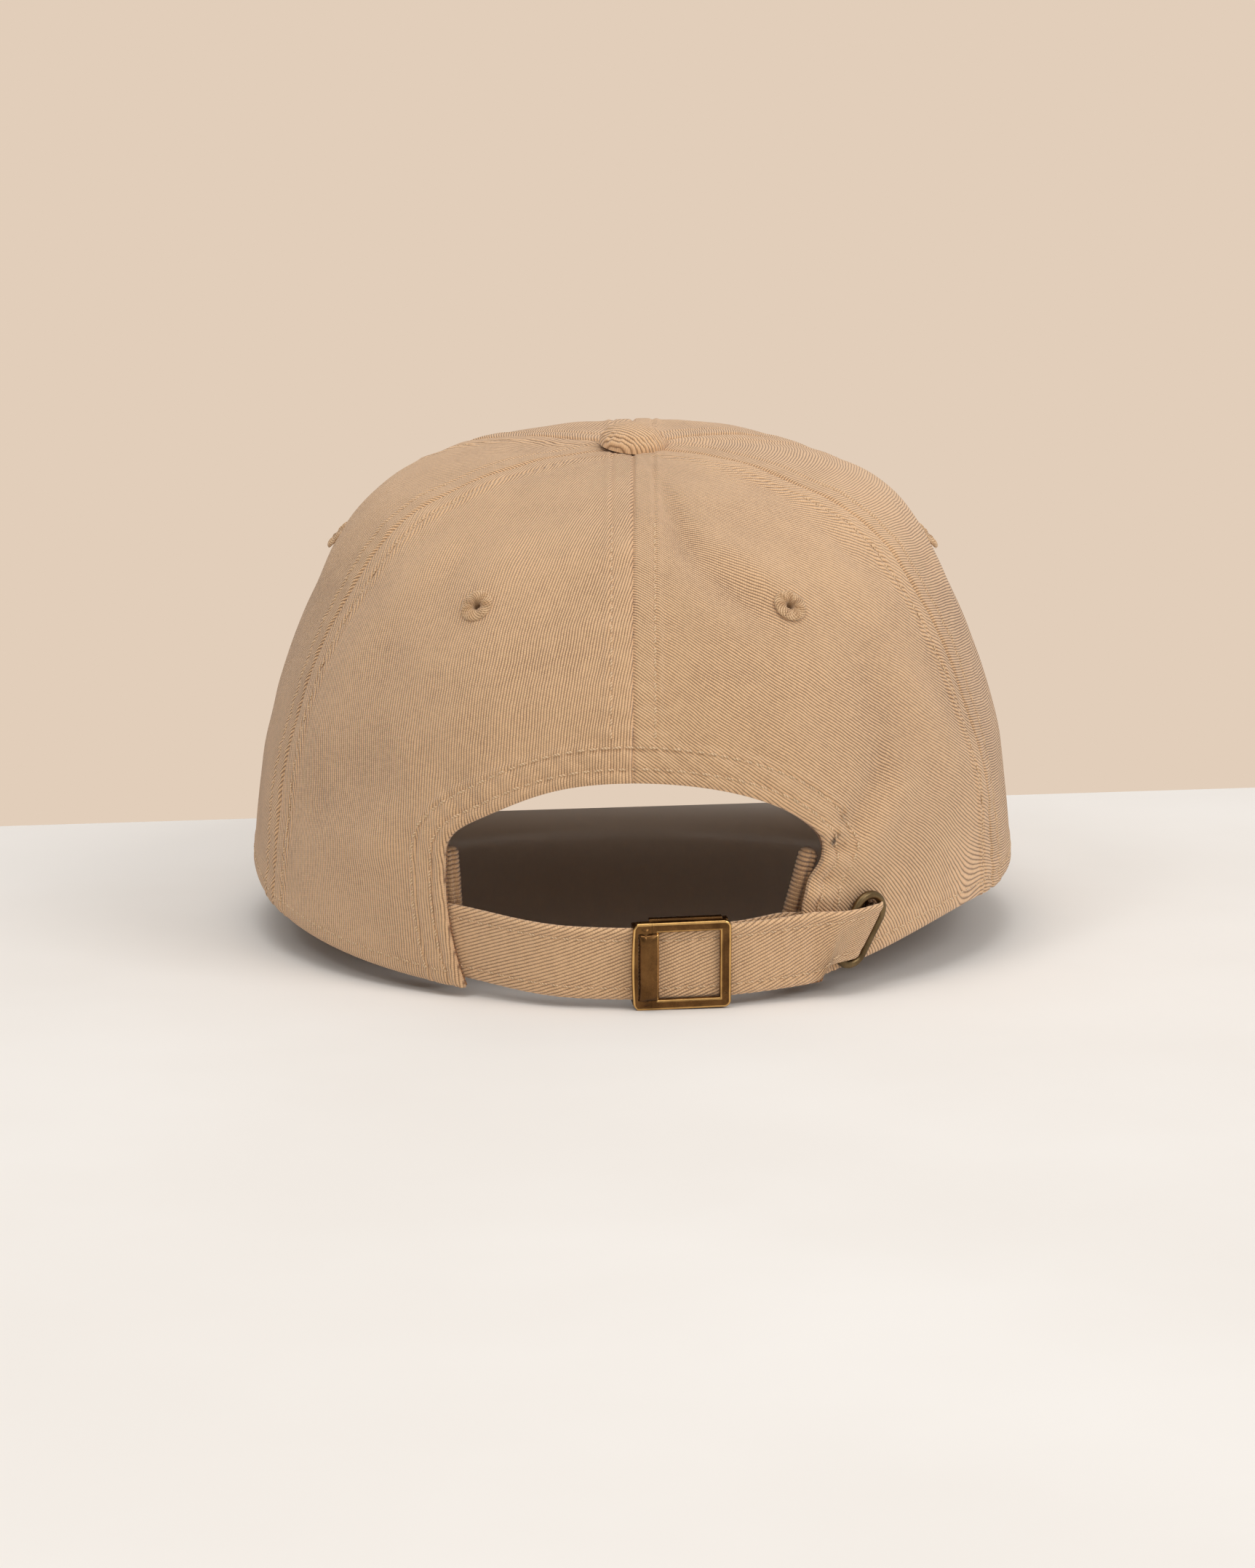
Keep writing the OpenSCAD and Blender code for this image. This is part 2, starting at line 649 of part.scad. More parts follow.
// Short strap round the buckle's rear bar, which runs in under the right panel
loop_r = 74.5;
loop_end = 32;
module buckle_loop() {
    eye_r = 1.7;
    loop_half = strap_w / 2 - 0.5;
    loop_t = 1.0;
    bar_radius = strap_r - bar_y;
    bar_angle = buckle_at + atan(bar_x / bar_radius);
    settled_at = 27;
    steps = 6;
    angles = concat([for (k = [0:steps]) mix(bar_angle, settled_at, k / steps)],
        [for (k = [1:steps]) mix(settled_at, loop_end, k / steps)]);
    start_r = bar_radius / cos(bar_angle - buckle_at) - eye_r + loop_t / 2 + 0.25;
    radii = [for (a = angles) mix(start_r, loop_r, smooth((a - bar_angle) / (settled_at - bar_angle)))];
    color(dark_cloth) seated() difference() {
        union() {
            wavy_band(angles, radii, loop_t, strap_mid - loop_half, 2 * loop_half);
            in_buckle() translate([bar_x, bar_y, 0])
                cylinder(h = 2 * loop_half, r = eye_r, center = true, $fn = 32);
        }
        in_buckle() translate([bar_x, bar_y, 0])
            cylinder(h = 3 * loop_half, r = loop_bar_r + 0.05, center = true, $fn = 32);
    }
}

front_panel_left();
front_panel_right();
side_panel_left();
side_panel_right();
back_panel_left();
back_panel_right();
seam_tape_front();
seam_tape_front_left();
seam_tape_front_right();
seam_tape_back();
seam_tape_back_left();
seam_tape_back_right();
arch_facing();
sweatband();
sweatband_roll_left();
sweatband_roll_right();
button_cover();
button_shell();
button_rivet();
eyelet_front_left();
eyelet_front_right();
eyelet_side_left();
eyelet_side_right();
eyelet_back_left();
eyelet_back_right();
brim_top_fabric();
brim_board();
brim_under_fabric();
strap();
grommet_front();
grommet_back();
buckle_loop();
buckle_base();
buckle_pin();
buckle_lever();
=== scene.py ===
"""Visual model of a six-panel twill baseball cap, seen from its rear opening.

Sizes of the crown and strap are in millimetres in the crown's own frame (rim in the XY plane,
rear opening at -Y), and seat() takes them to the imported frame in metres.
"""

import math

import bmesh
import bpy
import numpy as np
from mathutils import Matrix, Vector, kdtree, noise


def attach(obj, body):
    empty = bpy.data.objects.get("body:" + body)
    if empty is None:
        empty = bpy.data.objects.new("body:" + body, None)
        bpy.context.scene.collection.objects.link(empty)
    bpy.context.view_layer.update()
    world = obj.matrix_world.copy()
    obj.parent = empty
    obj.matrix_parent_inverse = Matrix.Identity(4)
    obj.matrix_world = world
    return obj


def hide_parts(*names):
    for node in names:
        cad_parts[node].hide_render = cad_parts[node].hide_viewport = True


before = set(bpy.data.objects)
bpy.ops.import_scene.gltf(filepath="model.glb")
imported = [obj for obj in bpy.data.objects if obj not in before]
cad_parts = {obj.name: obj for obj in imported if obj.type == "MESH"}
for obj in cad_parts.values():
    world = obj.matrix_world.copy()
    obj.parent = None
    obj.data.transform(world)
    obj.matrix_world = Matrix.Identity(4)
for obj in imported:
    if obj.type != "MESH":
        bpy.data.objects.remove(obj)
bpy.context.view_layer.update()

MM = 0.001

# ---- Sizes shared with the part ----
CROWN_A, CROWN_B, CROWN_C = 88.0, 100.0, 97.0
CROWN_N = 3.0
CROWN_LEAN = 0.13
CROWN_SLOUCH = 7.0
TIP_DEG = 8.5
SEAT_LIFT = 0.85
RING_BETA = 88.0
BACK_SEAM, FRONT_SEAM = 66.0, 123.0
ARCH_HALF, ARCH_SIDE_H, ARCH_RISE, FACING_W = 27.6, 29.5, 17.3, 5.0
CLOTH_T = 1.2
STRAP_R, STRAP_T, STRAP_W, STRAP_MID = 79.0, 1.2, 15.8, 9.3
STRAP_AXIS_Y = CROWN_A**2 / CROWN_B - CROWN_B
SLOT_AT, SLOT_TILT, SLOT_W, SLOT_LEN = 37.6, 34.0, 6.0, 14.6
TAIL_RISE = 1.6
BUCKLE_AT = 7.2
SLOT_R = 78.9
# About how long a degree is on the crown's lower side
MM_PER_DEG = 1.35
EYELET_HOLE = 2.3
# How far, where and over how wide an angle the rim is drawn up, and the pull on the arch above it
RIM_PULL, RIM_PULL_AT, RIM_PULL_WIDE, RIGHT_PULL = 6.0, 52, 24, 2.6
# Angle round the crown and height of each pair of eyelets
EYELETS = {"back": (31.0, 77.0), "side": (95.0, 74.0), "front": (152.0, 77.0)}


def mix(p, q, t):
    return p + (q - p) * t


def smooth(t):
    k = np.clip(t, 0, 1)
    return k * k * (3 - 2 * k)


def sin_d(angle):
    return np.sin(np.radians(angle))


def cos_d(angle):
    return np.cos(np.radians(angle))


def unit(v):
    return v / np.linalg.norm(v, axis=-1, keepdims=True)


def bump(x, width):
    """Bell curve of height 1 at x = 0."""
    return np.exp(-((x / width) ** 2))


def spread(*parts):
    """Stacks parts that broadcast together into one array of points."""
    return np.stack(np.broadcast_arrays(*parts), axis=-1)


def turned(a, b, angle):
    """A pair of coordinates, turned by an angle from the first towards the second."""
    c, s = cos_d(angle), sin_d(angle)
    return a * c - b * s, a * s + b * c


def from_back(phi):
    """Angle from the back seam, within half a turn."""
    return (phi + 180) % 360 - 180


# ---- Crown surface ----
def crown_outer(phi, beta):
    """Outer face of the crown at an angle round from the back seam and an angle up its side."""
    c, s = cos_d(beta), sin_d(beta)
    size = (np.abs(c) ** CROWN_N + np.abs(s) ** CROWN_N) ** (1 / CROWN_N)
    zf = s / size
    w = c / size * (1 - CROWN_LEAN * zf**2)
    y = -CROWN_B * w * cos_d(phi) - CROWN_SLOUCH * zf**2
    return spread(CROWN_A * w * sin_d(phi), y, CROWN_C * zf)


def crown_radius(p):
    """Distance of crown points from the crown's slouching axis."""
    return np.hypot(p[..., 0], p[..., 1] + CROWN_SLOUCH * (p[..., 2] / CROWN_C) ** 2)


def beta_of(z):
    z = np.asarray(z, dtype=float)
    f = np.clip(np.abs(z) / CROWN_C, 0, 0.999999) ** CROWN_N
    return np.sign(z) * np.degrees(np.arctan((f / (1 - f)) ** (1 / CROWN_N)))


def crown_normal(phi, beta):
    step = 0.4
    across = crown_outer(phi + step, beta) - crown_outer(phi - step, beta)
    up = crown_outer(phi, beta + step) - crown_outer(phi, beta - step)
    return unit(np.cross(across, up))


def seat_dir(d):
    """Turns crown directions with the cap, which sits tipped about its rear rim."""
    return spread(d[..., 0], *turned(d[..., 1], d[..., 2], TIP_DEG))


def seat(p):
    """Takes crown points in millimetres to where they lie in the frame, in metres."""
    rear = np.array([0, CROWN_B, 0])
    return (seat_dir(p + rear) - rear + np.array([0, 0, SEAT_LIFT])) * MM


def rim_raise(phi):
    """The rim of the right side is drawn up beside the grommet."""
    return RIM_PULL * bump(phi - RIM_PULL_AT, RIM_PULL_WIDE)


def rim_z(phi):
    p = np.abs(phi)
    dip = -8 * smooth((p - 80) / (FRONT_SEAM - 88))
    rise = mix(-8, 6, smooth((p - FRONT_SEAM + 8) / (188 - FRONT_SEAM)))
    return np.where(p < FRONT_SEAM - 8, dip, rise) + rim_raise(phi)


def rim_beta(phi):
    return beta_of(rim_z(phi))


# ---- Rear arch ----
def arch_curve(s, side, grow=0.0):
    """Edge of the opening on one side, from the back seam (s = 0) to the rim (s = 1), as phi and z."""
    half = ARCH_HALF + grow / MM_PER_DEG
    arch_share = 0.64
    k = np.clip(s / arch_share, 0, 1)
    turn = k * 90
    over_phi = half * sin_d(turn)
    over_z = ARCH_SIDE_H + (ARCH_RISE + grow) * np.maximum(0, 1 - sin_d(turn) ** 2) ** 0.55
    j = np.clip((s - arch_share) / (1 - arch_share), 0, 1)
    phi = np.where(s < arch_share, over_phi, half - 3.6 * j**2.2)
    z = np.where(s < arch_share, over_z, ARCH_SIDE_H * (1 - j))
    if side < 0:
        # The left shoulder of the arch hangs a little lower
        z = z - 1.7 * bump(turn - 50, 22) * (s < arch_share)
    else:
        # The right edge is pulled inwards above the strap
        phi = phi - RIGHT_PULL * smooth((30 - z) / 11) * smooth(z / 12) + 0.5 * bump(z - 30, 5)
    return side * phi, z


def whole_arch(s, grow=0.0):
    """Both sides of the edge of the opening, from the left rim over to the right rim."""
    left, right = arch_curve(s, -1, grow), arch_curve(s, 1, grow)
    return [np.concatenate([a[::-1], b[1:]]) for a, b in zip(left, right)]


def build_arch_tree():
    phi, z = whole_arch(np.linspace(0, 1, 700))
    points = crown_outer(phi, beta_of(z))
    tree = kdtree.KDTree(len(points))
    for k, p in enumerate(points):
        tree.insert(p, k)
    tree.balance()
    return tree


ARCH_TREE = build_arch_tree()


def arch_distance(phi, beta):
    """Distance in millimetres from the edge of the rear opening."""
    out = np.full(phi.shape, 99.0)
    near = (np.abs(phi) < 62) & (beta < beta_of(72.0))
    pts = crown_outer(phi[near], beta[near])
    out[near] = [ARCH_TREE.find(p)[2] for p in pts]
    return out


# ---- Relief of the cloth ----
def field(points, scale, seed, detail=1):
    """Smooth noise at points in millimetres, about -1 to 1."""
    flat = points.reshape(-1, 3) / scale
    out = np.empty(len(flat))
    for k, p in enumerate(flat):
        v = Vector((p[0] + seed, p[1] - seed, p[2] + 0.5 * seed))
        value = noise.noise(v)
        if detail > 1:
            value += 0.5 * noise.noise(v * 2.1)
        out[k] = value
    return out.reshape(points.shape[:-1])


# Soft folds: angle and height of both ends, then half width and lift in millimetres
FOLDS = [
    ((-52, 8), (-38, 26), 5.0, 1.3),
    ((-62, 22), (-44, 40), 7.0, -1.0),
    ((12, 91), (25, 78), 5.0, -1.6),
    ((17, 88), (34, 80), 5.0, 0.9),
    ((34, 26), (44, 38), 3.5, 1.0),
    ((31, 31), (40, 44), 3.0, -0.9),
    ((-14, 88), (-34, 84), 6.0, 0.8),
    ((48, 62), (62, 30), 7.0, 0.9),
    ((-56, 60), (-46, 84), 7.0, 0.8),
    ((52, 84), (64, 72), 5.0, -0.9),
    ((84, 70), (108, 84), 6.0, 1.0),
    ((-84, 72), (-112, 80), 6.0, 1.0),
    ((-100, 40), (-112, 10), 8.0, -1.0),
    ((98, 34), (112, 8), 8.0, -1.1),
    ((132, 60), (150, 84), 7.0, 0.9),
    ((-136, 56), (-160, 80), 7.0, 1.0),
    ((166, 40), (150, 66), 8.0, -0.9),
    ((-170, 30), (-150, 52), 8.0, 0.8),
]
SEAMS = [-FRONT_SEAM, -BACK_SEAM, 0.0, BACK_SEAM, FRONT_SEAM, 180.0]
# Distances from a seam: its stitch rows, and the edge of the cloth folded under
STITCH_OFFSET, ALLOWANCE = 5.2, 6.2
# Distances from the opening's edge: the hem's two stitch rows
ARCH_ROWS = 2.8, 7.0
RIM_ROW = 3.2


def fold_lift(phi, z):
    """Height of the soft folds at an angle and a height of the crown."""
    total = np.zeros(phi.shape)
    scale = math.radians(1) * 82
    for (phi0, z0), (phi1, z1), half, high in FOLDS:
        ax, az = phi0 * scale, z0
        dx, dz = (phi1 - phi0) * scale, z1 - z0
        length = math.hypot(dx, dz)
        px, pz = phi * scale - ax, z - az
        t = (px * dx + pz * dz) / length**2
        off = (px * dz - pz * dx) / length
        ends = smooth((t + 0.35) / 0.5) * smooth((1.35 - t) / 0.5)
        total += high * bump(off, half) * ends
    return total


def seam_lift(s, along, closing):
    """Relief beside a seam at s millimetres from it: allowance, groove, stitch rows and puckers."""
    a = np.abs(s)
    lift = 0.34 * (1 - smooth((a - ALLOWANCE) / 1.3))
    lift -= 0.62 * bump(s, 0.55)
    lift -= 0.34 * bump(a - STITCH_OFFSET, 0.55)
    reach = smooth((12.5 - a) / 8)
    pucker = np.sin(along * 2 * math.pi / 5.3 + 1.7 * np.sin(along / 7.0) + np.sign(s) * 0.9)
    lift += 0.17 * pucker * reach * smooth(a / 1.5)
    return lift * closing


def cloth_lift(phi, beta):
    """Everything that stands off the crown's plain surface, in millimetres."""
    shape = phi.shape
    phi, beta = phi.ravel(), beta.ravel()
    base = crown_outer(phi, beta)
    z = base[:, 2]
    radius = crown_radius(base)
    wrapped = from_back(phi)
    # The cloth lies flat where the strap, its slot and the sweatband hold it
    above_strap = smooth((z - 17) / 14)
    strap_hold = above_strap + (1 - above_strap) * smooth((np.abs(wrapped) - 52) / 14)
    rim_hold = 0.25 + 0.75 * smooth((z - 4) / 22)
    hold = np.minimum(strap_hold, 1) * rim_hold
    slack = 0.75 * field(base, 31.0, 3.1) + 0.34 * field(base, 11.0, 8.7)
    lift = (slack + fold_lift(wrapped, z)) * hold
    side_shape = -2.9 * bump(z - 50, 28) - 0.9 * bump(z - 12, 18) + 2.2 * bump(z - 84, 8)
    lift += side_shape * bump(np.abs(wrapped) - 92, 42)
    lift *= smooth((radius - 6) / 14)
    for k, at in enumerate(SEAMS):
        s = np.radians(from_back(phi - at)) * radius
        closing = smooth((radius - 4) / 6)
        lift += np.where(np.abs(s) < 14, seam_lift(s, z + 13.0 * k, closing), 0)
    # Hem of the rear opening
    d = arch_distance(wrapped, beta)
    lift += 0.42 * (1 - smooth((d - 7.6) / 1.2)) - 0.55 * bump(d, 0.55)
    lift -= 0.34 * bump(d - ARCH_ROWS[0], 0.5) + 0.36 * bump(d - ARCH_ROWS[1], 0.55)
    along = wrapped * MM_PER_DEG + z
    ripple = np.sin(along * 2 * math.pi / 6.1 + 1.2 * np.sin(along / 5.0))
    lift += 0.16 * ripple * smooth((12 - d) / 6) * smooth((d - 0.5) / 1.5) * smooth((z - 20) / 10)
    # The pulled right edge buckles in short waves
    wave = np.sin(z * 2 * math.pi / 6.4 + 0.22 * d) * smooth((z - 15) / 4) * smooth((39 - z) / 9)
    lift += 0.75 * wave * bump(d - 3.0, 3.6) * (wrapped > 0)
    # Hem along the rim, where the sweatband is sewn in
    low = z - rim_z(wrapped)
    hem = 0.2 * (1 - smooth((low - 5.5) / 1.5)) - 0.5 * bump(low, 0.5) - 0.2 * bump(low - RIM_ROW, 0.5)
    lift += hem * (d > 1)
    return lift.reshape(shape)


def on_cloth(phi, beta, above=0.0):
    """Points of the finished cloth and its normals, in the frame."""
    phi, beta = np.broadcast_arrays(np.asarray(phi, float), np.asarray(beta, float))
    n = crown_normal(phi, beta)
    p = crown_outer(phi, beta) + n * (cloth_lift(phi, beta) + above)[..., None]
    return seat(p), seat_dir(n)


# ---- Mesh helpers ----
def make_object(name, verts, faces, uv, material, wear_and_painted_light=None, sharp=60):
    """Smooth mesh with flat coordinates in millimetres and, if given, each point's wear and painted light
    and shade.
    """
    mesh = bpy.data.meshes.new(name)
    mesh.from_pydata(np.asarray(verts).tolist(), [], [list(map(int, f)) for f in faces])
    if uv is not None:
        layer = mesh.uv_layers.new(name="weave")
        index = np.empty(len(mesh.loops), dtype=np.int32)
        mesh.loops.foreach_get("vertex_index", index)
        layer.data.foreach_set("uv", np.asarray(uv, dtype=np.float32)[index].ravel())
    if wear_and_painted_light is not None:
        made = mesh.attributes.new("wear_and_painted_light", "FLOAT", "POINT")
        made.data.foreach_set("value", np.asarray(wear_and_painted_light, dtype=np.float32))
    bm = bmesh.new()
    bm.from_mesh(mesh)
    bmesh.ops.recalc_face_normals(bm, faces=bm.faces)
    bm.to_mesh(mesh)
    bm.free()
    mesh.polygons.foreach_set("use_smooth", [True] * len(mesh.polygons))
    mesh.set_sharp_from_angle(angle=math.radians(sharp))
    ob = bpy.data.objects.new(name, mesh)
    bpy.context.scene.collection.objects.link(ob)
    mesh.materials.append(material)
    return ob


def shell(name, top, bottom, uv, material, wear_and_painted_light=None, keep=None, sharp=50):
    """Closed sheet between two grids of points. keep says which quads are there."""
    n, m = top.shape[:2]
    ids = np.arange(n * m).reshape(n, m)
    quads = np.stack([ids[:-1, :-1], ids[1:, :-1], ids[1:, 1:], ids[:-1, 1:]], axis=-1)
    quads = quads[keep] if keep is not None else quads.reshape(-1, 4)
    edges = np.concatenate([quads[:, [k, (k + 1) % 4]] for k in range(4)])
    key = np.sort(edges, axis=1)
    total = n * m
    _, first, count = np.unique(key[:, 0] * total + key[:, 1], return_index=True, return_counts=True)
    rim = edges[first[count == 1]]
    walls = np.stack([rim[:, 1], rim[:, 0], rim[:, 0] + total, rim[:, 1] + total], axis=-1)
    faces = np.concatenate([quads, quads[:, ::-1] + total, walls])
    verts = np.concatenate([top.reshape(-1, 3), bottom.reshape(-1, 3)])
    used = np.unique(faces)
    index = np.full(len(verts), -1)
    index[used] = np.arange(len(used))
    uv2 = np.concatenate([uv.reshape(-1, 2)] * 2)[used]
    wear_and_painted_light_2 = None if wear_and_painted_light is None else np.concatenate([wear_and_painted_light.ravel()] * 2)[used]
    return make_object(name, verts[used], index[faces], uv2, material, wear_and_painted_light_2, sharp)


def middles(g):
    """Middle of each quad of a grid."""
    return (g[:-1, :-1] + g[1:, :-1] + g[1:, 1:] + g[:-1, 1:]) / 4


def tube_faces(rows, around):
    """Faces of a tube made of rings, closed at both ends."""
    ids = np.arange(rows * around).reshape(rows, around)
    nxt = np.roll(ids, -1, axis=1)
    quads = np.stack([ids[:-1], nxt[:-1], nxt[1:], ids[1:]], axis=-1).reshape(-1, 4).tolist()
    return quads + [ids[0].tolist(), ids[-1][::-1].tolist()]


def lathe(name, profile, count, place, material, ripple):
    """Closed ring of revolution. profile is a closed list of (radius, height), in millimetres."""
    r, h = (column[None, :] for column in np.array(profile).T)
    theta = np.arange(count)[:, None] / count * 2 * math.pi
    local = spread(r * np.cos(theta), r * np.sin(theta), h + ripple(theta, h))
    ids = np.arange(local[..., 0].size).reshape(local.shape[:2])
    nxt = np.roll(ids, -1, axis=0)
    quads = np.stack([ids, nxt, np.roll(nxt, -1, axis=1), np.roll(ids, -1, axis=1)], axis=-1)
    uv = spread(theta * 3.0, np.arange(len(profile))[None, :] * 0.6)
    verts = place(local).reshape(-1, 3)
    return make_object(name, verts, quads.reshape(-1, 4), uv.reshape(-1, 2), material)


def steps(length, fine, coarse, start=9.0, end=9.0):
    """Shares of a length, with fine spacing near both ends."""
    places = [0.0]
    while places[-1] < length:
        x = places[-1]
        near = min(x / start if start else 9, (length - x) / end if end else 9)
        places.append(x + mix(fine, coarse, float(smooth((near - 0.8) / 1.2))))
    return np.array(places) / places[-1]


# ---- Materials ----
def linear(r, g, b):
    """8-bit sRGB to linear colour."""
    out = [((c / 255 + 0.055) / 1.055) ** 2.4 if c > 10 else c / 255 / 12.92 for c in (r, g, b)]
    return (*out, 1.0)


class Graph:
    """A material's node tree, built by short calls that return output sockets."""

    def __init__(self, name, **settings):
        self.material = bpy.data.materials.new(name)
        self.material.use_nodes = True
        self.tree = self.material.node_tree
        self.tree.nodes.clear()
        self.bsdf = self.tree.nodes.new("ShaderNodeBsdfPrincipled")
        out = self.tree.nodes.new("ShaderNodeOutputMaterial")
        self.tree.links.new(self.bsdf.outputs[0], out.inputs[0])
        for key, value in settings.items():
            self.bsdf.inputs[key.replace("_", " ")].default_value = value

    def put(self, socket, value):
        if isinstance(value, bpy.types.NodeSocket):
            self.tree.links.new(value, socket)
        elif value is not None:
            socket.default_value = value

    def add(self, kind, inputs=(), out=0, **props):
        node = self.tree.nodes.new(f"ShaderNode{kind}")
        for key, value in props.items():
            setattr(node, key, value)
        for key, value in dict(inputs).items():
            self.put(node.inputs[key], value)
        return node.outputs[out]

    def math(self, op, a, b=None):
        return self.add("Math", {0: a, 1: b}, operation=op)

    def plus(self, a, b):
        return self.math("ADD", a, b)

    def minus(self, a, b):
        return self.math("SUBTRACT", a, b)

    def times(self, a, b):
        return self.math("MULTIPLY", a, b)

    def arches(self, x, power):
        """A row of rounded ridges, one for each whole step of x."""
        wave = self.math("ABSOLUTE", self.math("SINE", self.times(x, math.pi)))
        return self.math("POWER", wave, power)

    def noise(self, vector, scale, detail=2.0, rough=0.5):
        keys = {"Vector": vector, "Scale": scale, "Detail": detail, "Roughness": rough}
        return self.add("TexNoise", keys)

    def ramp(self, value, low, high, to_low=0.0, to_high=1.0):
        keys = {"Value": value, "From Min": low, "From Max": high, "To Min": to_low, "To Max": to_high}
        return self.add("MapRange", keys, clamp=True, interpolation_type="SMOOTHSTEP")

    def blend(self, amount, a, b):
        node = self.tree.nodes.new("ShaderNodeMix")
        node.data_type = "RGBA"
        self.put(node.inputs[0], amount)
        self.put(node.inputs[6], a)
        self.put(node.inputs[7], b)
        return node.outputs[2]

    def split(self, vector):
        node = self.tree.nodes.new("ShaderNodeSeparateXYZ")
        self.put(node.inputs[0], vector)
        return node.outputs

    def join(self, x, y):
        return self.add("CombineXYZ", {0: x, 1: y})

    def colour(self, value, low, high, dark, light):
        """Base colour that goes from dark to light as value rises."""
        self.link("Base Color", self.blend(self.ramp(value, low, high), linear(*dark), linear(*light)))

    def link(self, name, socket):
        self.tree.links.new(socket, self.bsdf.inputs[name])

    def bump(self, height, distance, strength=1.0):
        keys = {"Strength": strength, "Distance": distance, "Height": height}
        self.link("Normal", self.add("Bump", keys))


CLOTH_LIGHT, CLOTH_DARK = (238, 196, 151), (126, 85, 52)


def twill(name, rib_deg, light=CLOTH_LIGHT, dark=CLOTH_DARK, pitch=0.72, sway=2.4):
    """Cotton twill: slanted ribs of beaded yarn. rib_deg is the ribs' angle from across the panel."""
    bead, stagger, relief = 0.56, 0.37, 0.00026
    g = Graph(name, Roughness=0.88, Sheen_Weight=0.35, Sheen_Roughness=0.55, Specular_IOR_Level=0.18)
    uv = g.add("UVMap", uv_map="weave")
    u, v, _ = g.split(uv)
    c, s = math.cos(math.radians(rib_deg)), math.sin(math.radians(rib_deg))
    along = g.plus(g.times(u, c), g.times(v, s))
    across = g.minus(g.times(v, c), g.times(u, s))
    waver = g.times(g.minus(g.noise(uv, 0.05, 3.0), 0.5), sway)
    row_at = g.math("DIVIDE", g.plus(across, waver), pitch)
    row = g.math("FLOOR", row_at)
    bead_at = g.plus(g.math("DIVIDE", along, bead), g.times(row, stagger))
    column = g.math("FLOOR", bead_at)
    knot = g.plus(g.times(g.arches(bead_at, 0.6), 0.4), 0.6)
    height = g.times(g.arches(row_at, 0.8), knot)
    yarn = g.add("TexWhiteNoise", {"Vector": g.join(row, column)}, noise_dimensions="2D")
    slub = g.noise(g.join(g.times(along, 0.12), row), 1.0, 2.0)
    fuzz = g.noise(uv, 6.0, 3.0, 0.7)
    wash = g.minus(g.noise(uv, 0.055, 3.0, 0.6), 0.5)
    # The attribute read here holds wear and random tone, and on the panels and button painted light and
    # shade from the relief.
    wear_and_painted_light = g.add("Attribute", attribute_name="wear_and_painted_light", out=2)
    # Rib height also sets the colour: ribs lighter and the valleys between them darker, which is painted
    # shade of the weave.
    tone = g.times(height, 0.85)
    for part, share in ((yarn, 0.16), (slub, 0.14), (fuzz, 0.12), (wash, 0.3), (wear_and_painted_light, 0.3)):
        tone = g.plus(tone, g.times(part, share))
    g.colour(tone, 0.0, 1.0, dark, light)
    g.bump(g.plus(height, g.times(fuzz, 0.35)), relief)
    return g.material


def thread(name, light, dark):
    """Sewing thread: two plies twisted round each other."""
    g = Graph(name, Roughness=0.6, Sheen_Weight=0.3, Specular_IOR_Level=0.3)
    uv = g.add("UVMap", uv_map="weave")
    u, v, _ = g.split(uv)
    # Twist stripes: darker where the plies meet, which is painted shade, with random tone from noise.
    lay = g.math("SINE", g.plus(g.times(u, 9.0), g.times(v, 6.0)))
    tone = g.plus(g.times(lay, 0.3), g.noise(uv, 9.0, 3.0))
    g.colour(tone, 0.1, 0.95, dark, light)
    g.bump(tone, 0.00008)
    return g.material


def metal(name, bright, body, grime, roughness):
    """Plated cast metal: lighter edges, both rubbed plating and a painted edge highlight, a toned body and
    grime in soft blotches.
    """
    g = Graph(name, Metallic=1.0)
    where = g.add("TexCoord", out=3)
    blotch = g.noise(where, 260.0, 6.0, 0.6)
    grain = g.noise(where, 5200.0, 3.0, 0.6)
    wear_and_painted_light = g.add("Attribute", attribute_name="wear_and_painted_light", out=2)
    # Edges get a lighter brass: rubbed plating together with a painted edge highlight.
    edge = g.ramp(g.plus(wear_and_painted_light, g.times(blotch, 0.5)), 0.45, 1.2)
    stain = g.plus(g.times(blotch, 0.7), g.times(grain, 0.3))
    base = g.blend(g.ramp(stain, 0.3, 0.72), linear(*grime), linear(*body))
    g.link("Base Color", g.blend(edge, base, linear(*bright)))
    rough = g.plus(g.times(blotch, 0.2), roughness)
    g.link("Roughness", g.minus(rough, g.times(edge, 0.12)))
    g.bump(grain, 0.000015, 0.5)
    return g.material


def mottled(name, scale, detail, light, dark, relief, strength=1.0, **settings):
    """Plain matt stuff with soft cloudy spots."""
    g = Graph(name, **settings)
    cloud = g.noise(g.add("TexCoord", out=3), scale, detail)
    g.colour(cloud, 0.3, 0.7, dark, light)
    g.bump(cloud, relief, strength)
    return g.material


STRAP_CLOTH = twill("twill_strap", 23, sway=0.8)
BAND_CLOTH = twill("twill_sweatband", 45, (176, 126, 82), (96, 62, 36), 0.6)
ROLL_CLOTH = twill("twill_roll", 0, (206, 164, 122), (110, 74, 46), 0.95)
TAPE_CLOTH = twill("twill_tape", 30, (214, 178, 138), (136, 100, 68), 0.6)
THREAD = thread("thread_tan", (244, 214, 176), (186, 148, 108))
SILK = thread("thread_eyelet", (240, 206, 164), (168, 130, 92))
BRASS = metal("antique_brass", (222, 178, 112), (122, 88, 52), (80, 55, 31), 0.17)
GUNMETAL = metal("grommet_metal", (206, 186, 152), (132, 112, 80), (88, 72, 50), 0.28)
ZINC = metal("button_metal", (210, 208, 204), (150, 148, 144), (90, 88, 84), 0.4)
BOARD = mottled("brim_board", 900.0, 4.0, (235, 233, 228), (205, 202, 196), 0.00002,
                Roughness=0.5)


def place_piece(ob, body, slot, *nodes):
    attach(ob, body)
    if nodes:
        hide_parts(*nodes)
    return ob


